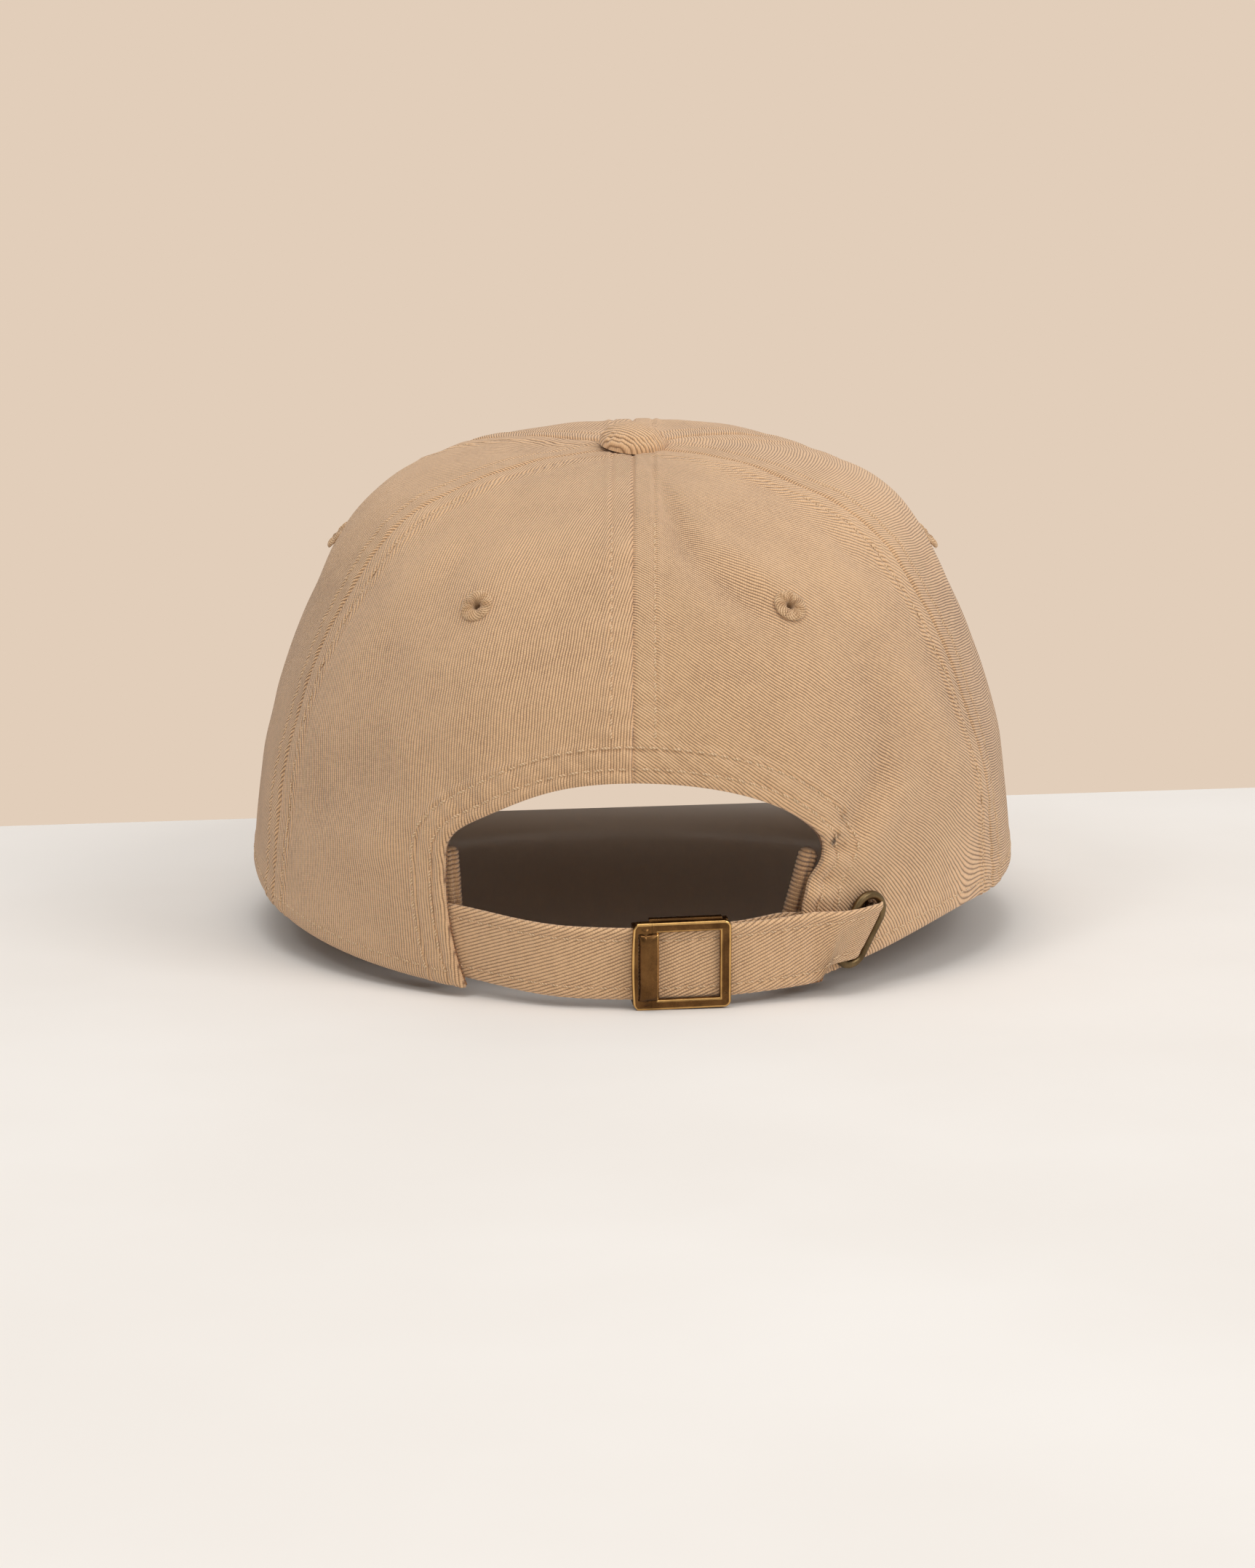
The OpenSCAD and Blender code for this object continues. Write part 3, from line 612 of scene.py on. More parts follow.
# ---- Crown panels ----
def cloth_uv(phi, beta, mid):
    """Flat coordinates of the cloth in millimetres, from the panel's middle line and the rim."""
    base = crown_outer(phi, beta)
    radius = np.hypot(base[..., 0], base[..., 1])
    u, v = np.radians(phi - mid) * radius, beta * 1.6 + base[..., 2] * 0.35
    # Low on the right the cloth hangs with its grain turned towards the vertical
    grain = (1 - smooth(base[..., 2] / 34)) * smooth((phi - 10) / 20) * (1 - smooth((phi - 52) / 14))
    return spread(u * (1 + 0.22 * grain), v - 0.38 * grain * (v - 30))


def slot_local(p):
    """How far crown points lie from the middle of the grommet's slot, across it and along it."""
    out = np.array([sin_d(SLOT_AT), -cos_d(SLOT_AT), 0.0])
    flat = np.array([cos_d(SLOT_AT), sin_d(SLOT_AT), 0.0])
    up = np.array([0.0, 0.0, 1.0])
    centre = np.array([0, STRAP_AXIS_Y, STRAP_MID + TAIL_RISE]) + SLOT_R * out
    across, along = turned(flat, up, SLOT_TILT)
    return (p - centre) @ across, (p - centre) @ along


def panel(node, phi, beta, mid, rib_deg, eyelet):
    """One crown panel over its grid of angles, with a hole for its eyelet."""
    lift = cloth_lift(phi, beta)
    base = crown_outer(phi, beta)
    n = crown_normal(phi, beta)
    d = arch_distance(from_back(phi), beta)
    thin = 0.35 * bump(d, 0.5)
    top = base + n * lift[..., None]
    bottom = base + n * (0.7 * lift - CLOTH_T + thin)[..., None]
    hole = crown_outer(np.array(math.copysign(eyelet[0], mid)), beta_of(eyelet[1]))
    keep = np.linalg.norm(middles(base) - hole, axis=-1) > EYELET_HOLE
    if node == "back_panel_right":
        across, along = slot_local(middles(base))
        keep &= np.hypot(across, np.maximum(0, np.abs(along) - (SLOT_LEN - SLOT_W) / 2)) > SLOT_W / 2
    # Tone from the relief: raised cloth lighter, seam grooves and fold troughs darker, which is painted
    # light and shade, plus random tone from noise.
    wear_and_painted_light = np.clip(0.25 * lift + 0.10 * field(base, 5.0, 2.2, 2), -0.4, 0.5)
    cloth = twill(f"twill_{node.replace('_panel', '')}", rib_deg)
    ob = shell(f"{node}_cloth", seat(top), seat(bottom), cloth_uv(phi, beta, mid), cloth, wear_and_painted_light, keep)
    place_piece(ob, "cap", "twill", node)


def back_grid(side):
    """Grid from the edge of the opening out to the top ring and the seam beside the panel."""
    s = steps(82, 0.35, 1.0, 9.0, 3.0)[:, None]
    t = steps(78, 0.35, 1.15)[None, :]
    edge_phi, edge_z = arch_curve(s, side)
    ring_share = 0.5
    far_phi = side * BACK_SEAM * np.clip(s / ring_share, 0, 1)
    far_beta = RING_BETA * (1 - np.clip((s - ring_share) / (1 - ring_share), 0, 1) ** 1.25)
    phi = mix(edge_phi, far_phi, t)
    z = crown_outer(phi, mix(beta_of(edge_z), far_beta, t))[..., 2]
    return phi, beta_of(z + rim_raise(phi) * (1 - smooth(z / 45)))


def gore_grid(phi0, phi1):
    """Grid of a side or front panel from the rim up to the top ring."""
    s = steps(92, 0.35, 1.15)[:, None]
    t = steps(105, 0.35, 1.15, 4.0, 0.0)[None, :]
    phi = mix(phi0, phi1, s) + 0 * t
    beta = mix(rim_beta(phi), RING_BETA, t)
    return phi, beta


# For each pair of panels: its seams' angles, and the slant of the ribs on the left and on the right
PANELS = {
    "back": (0, BACK_SEAM, 97, -42),
    "side": (BACK_SEAM, FRONT_SEAM, 62, -16),
    "front": (FRONT_SEAM, 180, 55, -48),
}


def build_crown():
    for word, (near, far, *ribs) in PANELS.items():
        for side, hand, rib_deg in zip((-1, 1), ("left", "right"), ribs):
            grid = gore_grid(side * near, side * far) if near else back_grid(side)
            panel(f"{word}_panel_{hand}", *grid, side * (near + far) / 2, rib_deg, EYELETS[word])


# ---- Stitching ----
STITCH_LEN, STITCH_GAP, STITCH_HALF, STITCH_ABOVE = 2.0, 0.6, 0.27, 0.12
STITCH_TURN, STITCH_SAG = 0.05, 0.16


def capsule(sections=6, around=7):
    """Unit stitch along X: rounded at both ends."""
    x = np.linspace(-1, 1, sections)[:, None]
    r = np.sqrt(np.maximum(0.06, 1 - np.abs(x) ** 3))
    theta = np.arange(around) / around * 2 * math.pi
    return spread(x, r * np.cos(theta), r * np.sin(theta)).reshape(-1, 3), tube_faces(sections, around)


def stitches(name, runs, half=STITCH_HALF):
    """Stitches along runs of points with normals, in the frame."""
    unit_verts, unit_faces = capsule()
    rng = np.random.default_rng(7)
    verts, faces, uvs = [], [], []
    pitch = (STITCH_LEN + STITCH_GAP) * MM
    for points, normals in runs:
        lengths = np.linalg.norm(np.diff(points, axis=0), axis=1)
        dist = np.concatenate([[0], np.cumsum(lengths)])

        def at(x, rows, dist=dist):
            return np.array([np.interp(x, dist, rows[:, j]) for j in range(3)])

        for k in range(max(1, int(dist[-1] / pitch))):
            middle = (k + 0.5) * pitch
            n = unit(at(middle, normals))
            t = unit(at(middle + 0.4 * pitch, points) - at(middle - 0.4 * pitch, points))
            t = unit(t + rng.uniform(-STITCH_TURN, STITCH_TURN) * np.cross(n, t))
            w = np.cross(n, t)
            size = (rng.uniform(0.92, 1.08) * STITCH_LEN / 2 * MM, half * MM, half * 0.8 * MM)
            body = unit_verts * size
            sag = -(unit_verts[:, 0] ** 2) * STITCH_SAG * MM
            lift = (body[:, 2:] + sag[:, None]) * n
            faces += [[i + len(verts) * len(unit_verts) for i in f] for f in unit_faces]
            verts.append(at(middle, points) + body[:, :1] * t + body[:, 1:2] * w + lift)
            uvs.append(unit_verts[:, :2] * (STITCH_LEN / 2, 0.4) + rng.uniform(0, 40))
    ob = make_object(name, np.concatenate(verts), faces, np.concatenate(uvs), THREAD, sharp=80)
    place_piece(ob, "cap", "embroidery")


def seam_run(at, offset, z0, z1=92.0):
    """Line beside a seam, offset by a distance in millimetres."""
    beta = np.linspace(float(beta_of(z0)), float(beta_of(z1)), 160)
    radius = crown_radius(crown_outer(np.full_like(beta, at), beta))
    return on_cloth(at + np.degrees(offset / radius), beta, STITCH_ABOVE)


def arch_run(grow):
    phi, z = whole_arch(np.linspace(0, 0.97, 160), grow)
    return on_cloth(phi, beta_of(z), STITCH_ABOVE)


# Each seam's angle, and the heights at which its stitches and its tape inside begin
SEAM_ENDS = {
    "back": (0.0, 55.0, 56.0),
    "back_right": (BACK_SEAM, 7.4, 5.5),
    "back_left": (-BACK_SEAM, 3.0, 1.0),
    "front_right": (FRONT_SEAM, -5.0, -4.0),
    "front_left": (-FRONT_SEAM, -5.0, -4.0),
    "front": (180.0, 8.0, 8.0),
}


def build_stitching():
    for word, (at, z0, _) in SEAM_ENDS.items():
        stitches(f"stitches_seam_{word}", [seam_run(at, s * STITCH_OFFSET, z0) for s in (-1, 1)])
    stitches("stitches_arch", [arch_run(row) for row in ARCH_ROWS])
    phi = np.linspace(26, 334, 400)
    stitches("stitches_rim", [on_cloth(phi, beta_of(rim_z(from_back(phi)) + RIM_ROW), STITCH_ABOVE)])


# ---- Eyelets and button ----
def build_eyelets():
    profile = [(0.8, -2.0), (1.8, -2.15), (3.0, -2.0), (3.15, -1.6), (2.4, -1.4), (2.4, 0.0), (3.55, 0.05),
               (3.72, 0.22), (3.66, 0.45), (3.35, 0.68), (2.9, 0.84), (2.4, 0.92), (1.9, 0.9), (1.4, 0.72),
               (1.0, 0.35), (0.82, -0.2), (0.78, -1.0)]
    for word, (at, height) in EYELETS.items():
        for side, hand in ((-1, "left"), (1, "right")):
            phi, beta = np.array(side * at), beta_of(height)
            n = crown_normal(phi, beta)
            lift = float(cloth_lift(phi.reshape(1), beta.reshape(1))[0])
            up = unit(np.array([0, 0, 1.0]) - n[2] * n)
            right = np.cross(up, n)
            centre = crown_outer(phi, beta) + n * (lift - 0.3)

            def place(local):
                return seat(local[..., :1] * right + local[..., 1:2] * up + local[..., 2:] * n + centre)

            def threads(theta, h):
                wobble = 1 + 0.5 * np.sin(7 * theta + at)
                ridge = np.abs(np.sin(theta * 22 + 0.5 * np.sin(5 * theta + at)))
                return (h > 0.1) * (0.24 * ridge * wobble - 0.1)

            ob = lathe(f"eyelet_{word}_{hand}_thread", profile, 220, place, SILK, threads)
            place_piece(ob, "cap", "embroidery", f"eyelet_{word}_{hand}")


BUTTON_R, BUTTON_H, BUTTON_LIFT, BUTTON_TILT = 7.7, 4.6, 0.7, 4.0


def on_top(p):
    """From the button's own frame to the crown frame."""
    z, x = turned(p[..., 2] + BUTTON_LIFT, p[..., 0], BUTTON_TILT)
    y, z = turned(p[..., 1], z, BUTTON_TILT)
    return spread(x, y - CROWN_SLOUCH, z + CROWN_C)


def build_button():
    g = np.linspace(-1, 1, 91)
    a, b = np.meshgrid(g, g, indexing="ij")
    x, y = a * np.sqrt(1 - b**2 / 2), b * np.sqrt(1 - a**2 / 2)
    rho, theta = np.hypot(x, y), np.arctan2(y, x)
    gathers = np.sin(19 * theta + 2 * np.sin(2 * theta)) * 0.13 + np.sin(31 * theta) * 0.05
    rings = np.sin((1 - rho) * 26) * 0.12 * smooth((rho - 0.55) / 0.3)
    side = smooth((math.cos(0.9) + np.cos(theta + 1.0)) / 0.9)
    dome = np.maximum(0, 1 - rho**2.6) ** 0.62
    lift = gathers * smooth((rho - 0.5) / 0.45) + rings * side
    r = BUTTON_R * rho + 0.12 * gathers * rho
    x1, y1 = r * np.cos(theta), r * np.sin(theta)
    top = spread(x1, y1, BUTTON_H * dome + lift * (rho < 0.99))
    under = spread(0.9 * x1, 0.9 * y1, (BUTTON_H - 0.75) * dome - 0.1)
    uv = spread(BUTTON_R * x, BUTTON_R * y)
    # Tone from the gathers and rings: raised folds lighter, troughs darker, which is painted light and
    # shade.
    wear_and_painted_light, cloth = np.clip(lift, -0.3, 0.4), twill("twill_button", -30)
    ob = shell("button_cover_cloth", seat(on_top(top)), seat(on_top(under)), uv, cloth, wear_and_painted_light)
    place_piece(ob, "cap", "twill", "button_cover")


# ---- Inside of the crown ----
def inner_strip(node, phi, beta, depth0, depth1, uv, material, slot):
    """Strip between two depths under the crown's outer face, following its folds."""
    base, n = crown_outer(phi, beta), crown_normal(phi, beta)
    lift = 0.7 * np.clip(cloth_lift(phi, beta), -3, 0.35)
    top, bottom = (seat(base + n * (lift - depth)[..., None]) for depth in (depth0, depth1))
    place_piece(shell(f"{node}_cloth", top, bottom, uv, material), "cap", slot, node)


def build_tapes():
    half = 4.5
    for word in ("front", "front_left", "front_right", "back", "back_left", "back_right"):
        at, _, z0 = SEAM_ENDS[word]
        beta = np.linspace(float(beta_of(z0)), 76.0, 150)[:, None]
        k = np.linspace(-1, 1, 27)[None, :]
        base = crown_outer(at + 0 * beta, beta)
        phi = at + k * np.degrees(half / np.hypot(base[..., 0], base[..., 1]))
        outside = CLOTH_T + 1.1 + 0.22 * (1 - np.abs(k) ** 4)
        uv = spread(k * half, beta * 1.6)
        beta = beta + 0 * k
        inner_strip(f"seam_tape_{word}", phi, beta, CLOTH_T + 0.8, outside, uv, TAPE_CLOTH, "seam_tape")


def build_facing():
    s = np.linspace(-1, 1, 301)[:, None]
    w = np.linspace(0.3, FACING_W, 22)[None, :]
    left, right = (arch_curve(np.abs(s) + 0 * w, side, w + 0 * s) for side in (-1, 1))
    phi, z = (np.where(s < 0, a, b) for a, b in zip(left, right))
    depths = CLOTH_T + 0.4, CLOTH_T + 0.8
    inner_strip("arch_facing", phi, beta_of(z), *depths, spread(s * 82, w), BAND_CLOTH, "sweatband")


SWEAT_FROM, SWEAT_H, SWEAT_UP, SWEAT_IN, SWEAT_OUT = 32.0, 32.0, 0.6, 4.1, 5.2


def build_sweatband():
    phi = np.linspace(SWEAT_FROM, 360 - SWEAT_FROM, 520)[:, None]
    t = np.linspace(0, 1, 56)[None, :]
    z = rim_z(from_back(phi)) + SWEAT_UP + SWEAT_H * t
    wave = 0.25 * np.sin(np.radians(phi) * 41 + 3 * t) * smooth(t * 2 - 0.6)
    phi = phi + 0 * t
    from_top = (1 - t) * SWEAT_H
    edge = 0.3 * bump(from_top, 0.8) + 0.22 * bump(from_top - 3, 0.6)
    base, n = crown_outer(phi, beta_of(z)), crown_normal(phi, beta_of(z))
    outer = base - n * (SWEAT_IN - wave)[..., None]
    inner = base - n * (SWEAT_OUT - wave - edge)[..., None]
    ob = shell("sweatband_cloth", seat(inner), seat(outer), spread(np.radians(phi) * 92, z), BAND_CLOTH)
    place_piece(ob, "cap", "sweatband", "sweatband")
    rows = []
    phi = np.linspace(SWEAT_FROM + 1, 359 - SWEAT_FROM, 500)
    for drop in (3.0, SWEAT_H - 2.5):
        beta = beta_of(rim_z(from_back(phi)) + SWEAT_UP + SWEAT_H - drop)
        n = crown_normal(phi, beta)
        rows.append((seat(crown_outer(phi, beta) - n * (SWEAT_OUT + 0.1)), -seat_dir(n)))
    stitches("stitches_sweatband", rows)


ROLL_R, ROLL_PATH, ROLL_PITCH = 2.2, 71.6, 0.95


def build_rolls():
    """Ends of the sweatband, rolled back on themselves and bound."""
    def path_point(x, z):
        return np.array([x, STRAP_AXIS_Y - math.sqrt(ROLL_PATH**2 - x * x), z])

    for word, low_x, high_x in (("left", -37.2, -39.3), ("right", 30.4, 37.2)):
        low, high = path_point(low_x, 1.5), path_point(high_x, SWEAT_H - 3)
        axis = unit(high - low)
        length = float(np.linalg.norm(high - low))
        side = unit(np.cross(axis, [0, 1, 0]))
        fore = np.cross(side, axis)
        t = np.linspace(0, 1, 340)[:, None]
        theta = np.linspace(0, 2 * math.pi, 49)[None, :-1]
        winding = t * length * math.pi / ROLL_PITCH + 0.35 * np.sin(theta) + 0.5 * np.sin(9 * t)
        ribs = 0.3 * (np.abs(np.sin(winding)) ** 0.7 - 0.6) + 0.1 * np.sin(t * 5.0 + theta)
        round_end = np.clip(np.minimum(t, 1 - t) * length / 1.2, 0.02, 1) ** 0.5
        crease = -0.5 * bump(theta - 4.2, 0.25) - 0.4 * bump(theta - 2.2, 0.3)
        r = (ROLL_R - 0.2 + ribs + crease) * round_end
        mid = low + t[..., None] * (high - low)
        p = mid + r[..., None] * (np.cos(theta)[..., None] * side + np.sin(theta)[..., None] * fore)
        uv = spread(theta * ROLL_R, t * length).reshape(-1, 2)
        node, faces = f"sweatband_roll_{word}", tube_faces(*p.shape[:2])
        ob = make_object(f"{node}_cloth", seat(p).reshape(-1, 3), faces, uv, ROLL_CLOTH)
        place_piece(ob, "cap", "sweatband", node)


# ---- Brim ----
BRIM_TIP, BRIM_TIP_H, BRIM_BOARD_T, BRIM_CLOTH_T = 168.0, 31.0, 2.0, 0.9
BRIM_HALF_W, BRIM_EDGE_H = 0.955 * CROWN_A, 2.1
BOARD_REACH = 0.9


def brim_inner(omega):
    phi = 180 - omega / 90 * (180 - FRONT_SEAM + 8)
    z = rim_z(np.minimum(phi, 360 - phi))
    p = seat(crown_outer(phi, beta_of(z)) + np.array([0, 0, 0.9])) / MM
    return p + np.array([0, 0.5, 0]) + 0.4 * spread(sin_d(phi), -cos_d(phi), 0)


def brim_outer(omega):
    corner = brim_inner(np.sign(omega + 1e-9) * 90)
    s = np.abs(sin_d(omega)) ** 0.8
    x = np.sign(omega) * np.abs(corner[..., 0]) * s * (1 + 0.15 * sin_d(2 * np.abs(omega)))
    y = corner[..., 1] + (BRIM_TIP - corner[..., 1]) * np.maximum(0, cos_d(omega)) ** 0.8
    arch = BRIM_TIP_H - (BRIM_TIP_H - BRIM_EDGE_H) * np.minimum(1, np.abs(x) / BRIM_HALF_W) ** 2
    return spread(x, y, mix(arch, corner[..., 2], smooth((np.abs(omega) - 68) / 22)))


def brim_point(omega, v, rise):
    """Point of the brim in frame millimetres, raised by rise."""
    omega, v = np.broadcast_arrays(omega, v)
    bulge = 5 * sin_d(180 * v) * cos_d(omega) ** 2
    p = mix(brim_inner(omega), brim_outer(omega), v[..., None])
    p[..., 2] += bulge + rise
    return p


BRIM_DEPTH = 78.0
# Stitch rows, as shares of the way from the crown to the brim's edge
BRIM_ROWS = [0.955, 0.87, 0.785, 0.70, 0.615, 0.53, 0.445, 0.36]


def brim_relief(omega, v):
    """Quilting of the brim's cloth between its stitch rows."""
    lift = 0.05 * np.sin(omega * 0.9)
    for row in BRIM_ROWS:
        lift = lift - 0.22 * bump((v - row) * BRIM_DEPTH, 0.7)
    return lift


def build_brim():
    omega = np.linspace(-87, 87, 331)[:, None]
    v = steps(BRIM_DEPTH, 0.5, 0.7, 2.0, 6.0)[None, :]
    w = np.linspace(-84, 84, 500)
    half, gap, round_from = BRIM_BOARD_T / 2, 0.03, 0.985
    cloth = twill("twill_brim", 40)

    def closing(share):
        """How much nearer the two cloths lie beyond the board's edge."""
        return half * smooth((share - BOARD_REACH) / (1 - BOARD_REACH))

    for sign, word in ((1, "top"), (-1, "under")):
        far = half + BRIM_CLOTH_T - closing(v) + brim_relief(omega, v) * smooth((1.0 - v) * 30)
        round_end = gap + BRIM_CLOTH_T * np.sqrt(np.clip((1 - v) / (1 - round_from), 0, 1))
        far = sign * np.where(v > round_from, round_end, far)
        near = sign * (half + gap - closing(v))
        faces = [brim_point(omega, v, rise) * MM for rise in (far, near)]
        ob = shell(f"brim_{word}_cloth", *faces, spread(omega * MM_PER_DEG, v * BRIM_DEPTH), cloth)
        place_piece(ob, "cap", "twill", f"brim_{word}_fabric")
        up = np.tile([0, 0, float(sign)], (len(w), 1))
        rises = [sign * (half + BRIM_CLOTH_T + 0.02 - closing(row)) for row in BRIM_ROWS]
        rows = [brim_point(w, row, rise) * MM for row, rise in zip(BRIM_ROWS, rises)]
        stitches(f"stitches_brim_{word}", [(row, up) for row in rows])


# ---- Strap ----
DIVE_AT, TAIL_FROM, TAIL_END, TAIL_R, TAIL_W = 37.6, 28.0, 54.0, 75.2, 10.8
# Where the strap lies over the grommet's near wire, and where it has gone down inside
OVER_FROM, OVER_AT, OVER_R, DOWN_FROM, DOWN_AT = 28.0, 34.0, 80.7, 40.9, 43.3
FREE_FROM, UNDER_FROM, STRAP_END, UNDER_R = -9.0, -29.5, -36.0, 74.8
STRAP_ROW = 2.6


def strap_point(a, q, out):
    """Point of the strap: angle along it, share of its width, distance out from its middle."""
    lean_full = math.degrees(TAIL_W * math.tan(math.radians(SLOT_TILT)) / STRAP_R)
    turning = smooth((a - TAIL_FROM) / (DIVE_AT - TAIL_FROM))
    under = mix(STRAP_R, UNDER_R, smooth((FREE_FROM - a) / (FREE_FROM - UNDER_FROM)))
    over = mix(STRAP_R, OVER_R, smooth((a - OVER_FROM) / (OVER_AT - OVER_FROM)))
    tail = mix(over, TAIL_R, smooth((a - DOWN_FROM) / (DOWN_AT - DOWN_FROM)))
    r = np.where(a < FREE_FROM, under, tail)
    w = mix(STRAP_W, TAIL_W, turning)
    angle = a - lean_full * turning * (1 - q)
    z = STRAP_MID + TAIL_RISE * turning - w / 2 + q * w
    r = r + out
    return spread(r * sin_d(angle), STRAP_AXIS_Y - r * cos_d(angle), z)


def build_strap():
    a = np.linspace(STRAP_END, TAIL_END, 420)[:, None]
    q = steps(STRAP_W, 0.22, 0.35, 2.0, 2.0)[None, :]
    edge = np.minimum(q, 1 - q) * STRAP_W
    relief = -0.42 * bump(edge, 0.45) - 0.14 * bump(edge - STRAP_ROW, 0.5) + 0.05 * np.sin(a * 2.1 + 3 * q)
    top = strap_point(a, q, STRAP_T / 2 + relief)
    bottom = strap_point(a, q, -STRAP_T / 2 - 0.5 * relief)
    uv = spread(np.radians(a) * STRAP_R, q * STRAP_W)
    wear_and_painted_light = 0.25 * bump(edge, 0.6) + 0.1 * field(top, 4.0, 5.0, 2)
    ob = shell("strap_cloth", seat(top), seat(bottom), uv, STRAP_CLOTH, wear_and_painted_light)
    place_piece(ob, "cap", "strap", "strap")
    runs = []
    line = np.linspace(STRAP_END, DOWN_FROM - 1.0, 400)
    for share in (STRAP_ROW / STRAP_W, 1 - STRAP_ROW / STRAP_W):
        p, above = (strap_point(line, share, STRAP_T / 2 + out) for out in (0.0, 1.0))
        runs.append((seat(p), seat_dir(unit(above - p))))
    stitches("stitches_strap", runs, 0.2)


def in_buckle(p):
    """From the buckle's frame (X along the strap, -Y outward) to the crown frame."""
    x, y = turned(p[..., 0], p[..., 1] - STRAP_R, BUCKLE_AT)
    return spread(x, y + STRAP_AXIS_Y, p[..., 2] + STRAP_MID)


# Sizes of the buckle in its own frame; depths are distances out from the strap's middle
BUCKLE_X, BUCKLE_Z = 10.5, 9.7
CAM_X, CAM_OUT, CAM_R = -7.6, 2.1, 1.4
FRAME_BACK, FRAME_FRONT = 0.9, 1.9
LENS_Z, LENS_GAP, WINDOW_X0, WINDOW_X1, WINDOW_Z = 7.3, 0.12, -4.8, 8.1, 7.45
HINGE_X, SIDE_X = -6.25, -9.15
EAR_Z, EAR_T, PLATE_IN, PLATE_T, FLANGE_OUT = 8.15, 0.6, 1.6, 0.6, -0.72
BAR_X, BAR_Y, LOOP_R, LOOP_END, LOOP_T = 9.3, 3.2, 74.5, 32.0, 1.0


def stops(places, pitch=0.2):
    """Grid lines at about a pitch that pass through every given place."""
    parts = [np.linspace(a, b, max(2, round((b - a) / pitch) + 1))[:-1] for a, b in zip(places, places[1:])]
    return np.concatenate(parts + [[places[-1]]])


def round_corner(x, z, radius):
    """Bends the corners of the buckle's outline to an arc."""
    dx, dz = np.abs(x) - (BUCKLE_X - radius), np.abs(z) - (BUCKLE_Z - radius)
    inside = (dx > 0) & (dz > 0)
    share = np.where(inside, np.maximum(dx, dz) / np.maximum(np.hypot(dx, dz), 1e-6), 1.0)
    new_x = np.where(inside, np.sign(x) * (BUCKLE_X - radius + dx * share), x)
    return new_x, np.where(inside, np.sign(z) * (BUCKLE_Z - radius + dz * share), z)


def cast_edges(x, z):
    """Distances inwards from the frame's outline and outwards from its window."""
    to_outline = np.minimum(BUCKLE_X - np.abs(x), BUCKLE_Z - np.abs(z))
    return to_outline, np.maximum(np.maximum(x - WINDOW_X1, WINDOW_X0 - x), np.abs(z) - WINDOW_Z)


def cast_front(x, z):
    """Depth of the cast frame's front: worn round at its edges, with a raised outer lip."""
    to_outline, to_window = cast_edges(x, z)
    edge = np.clip(np.minimum(to_outline, np.where(x < HINGE_X, 9, to_window)) / 0.55, 0, 1)
    front = FRAME_FRONT - 0.42 * (1 - np.sqrt(1 - (1 - edge) ** 2))
    front -= 0.14 * smooth((to_outline - 0.5) / 0.2)
    groove = smooth((x - 8.85) / 0.15) * smooth((9.75 - x) / 0.15) * smooth((6.6 - np.abs(z)) / 0.2)
    return front - 0.3 * groove


def cast_wear_and_highlight(x, z):
    """How far the plating is rubbed off, with a painted highlight: along the edges of the frame and of its
    window.
    """
    to_outline, to_window = cast_edges(x, z)
    window_edge = np.where(x > HINGE_X, bump(to_window - 0.25, 0.25), 0)
    return np.maximum(bump(to_outline - 0.28, 0.26), 0.8 * window_edge)


def buckle_sheet(name, x, z, front, back, keep, body, *nodes):
    """Cast piece between a front and a back, over a grid of the buckle's face."""
    near_x, near_z = round_corner(x, z, 1.5)
    bow = 0.45 * (z / BUCKLE_Z) ** 2 * smooth((SIDE_X - x) / 1.3)
    faces = [seat(in_buckle(spread(near_x + bow, -depth, near_z))) for depth in (front, back)]
    ob = shell(name, *faces, spread(x, z), BRASS, cast_wear_and_highlight(x, z), keep, sharp=70)
    place_piece(ob, body, "antique_brass", *nodes)


def build_buckle_front():
    """The lever: a frame with a window and a smooth pressing bar that turns on the pin."""
    z_lines = stops([-BUCKLE_Z, -WINDOW_Z, -LENS_Z, LENS_Z, WINDOW_Z, BUCKLE_Z])
    x_lines = stops([CAM_X - CAM_R, CAM_X, HINGE_X, WINDOW_X0, WINDOW_X1, BUCKLE_X])
    x, z = np.meshgrid(x_lines, z_lines, indexing="ij")
    to_pin = x - CAM_X
    round_left = np.sqrt(np.maximum(0.0004, CAM_R**2 - to_pin**2))
    slope_right = 1.5 * np.sqrt(np.maximum(0, 1 - (to_pin / 2.8) ** 2))
    taper = np.sqrt(1 - np.clip((np.abs(z) - 4.0) / 3.4, 0, 1) ** 2)
    left, right = CAM_OUT + round_left * mix(0.12, 1, taper), CAM_OUT - 0.1 + slope_right * taper
    lens = np.where(to_pin < 0, left, np.maximum(right, FRAME_FRONT - 0.4))
    in_lens = (x < WINDOW_X0 + 1e-6) & (np.abs(z) < LENS_Z + 1e-6)
    front = np.where(in_lens, lens, cast_front(x, z))
    back = np.where(to_pin < 0, CAM_OUT - round_left * 0.93, FRAME_BACK)
    mx, mz = middles(x), np.abs(middles(z))
    in_window = (mx > WINDOW_X0) & (mx < WINDOW_X1) & (mz < WINDOW_Z)
    keep = ~in_window & ((mx > HINGE_X) | (mz < LENS_Z))
    buckle_sheet("buckle_lever_cast", x, z, front, back, keep, "lever", "buckle_lever")


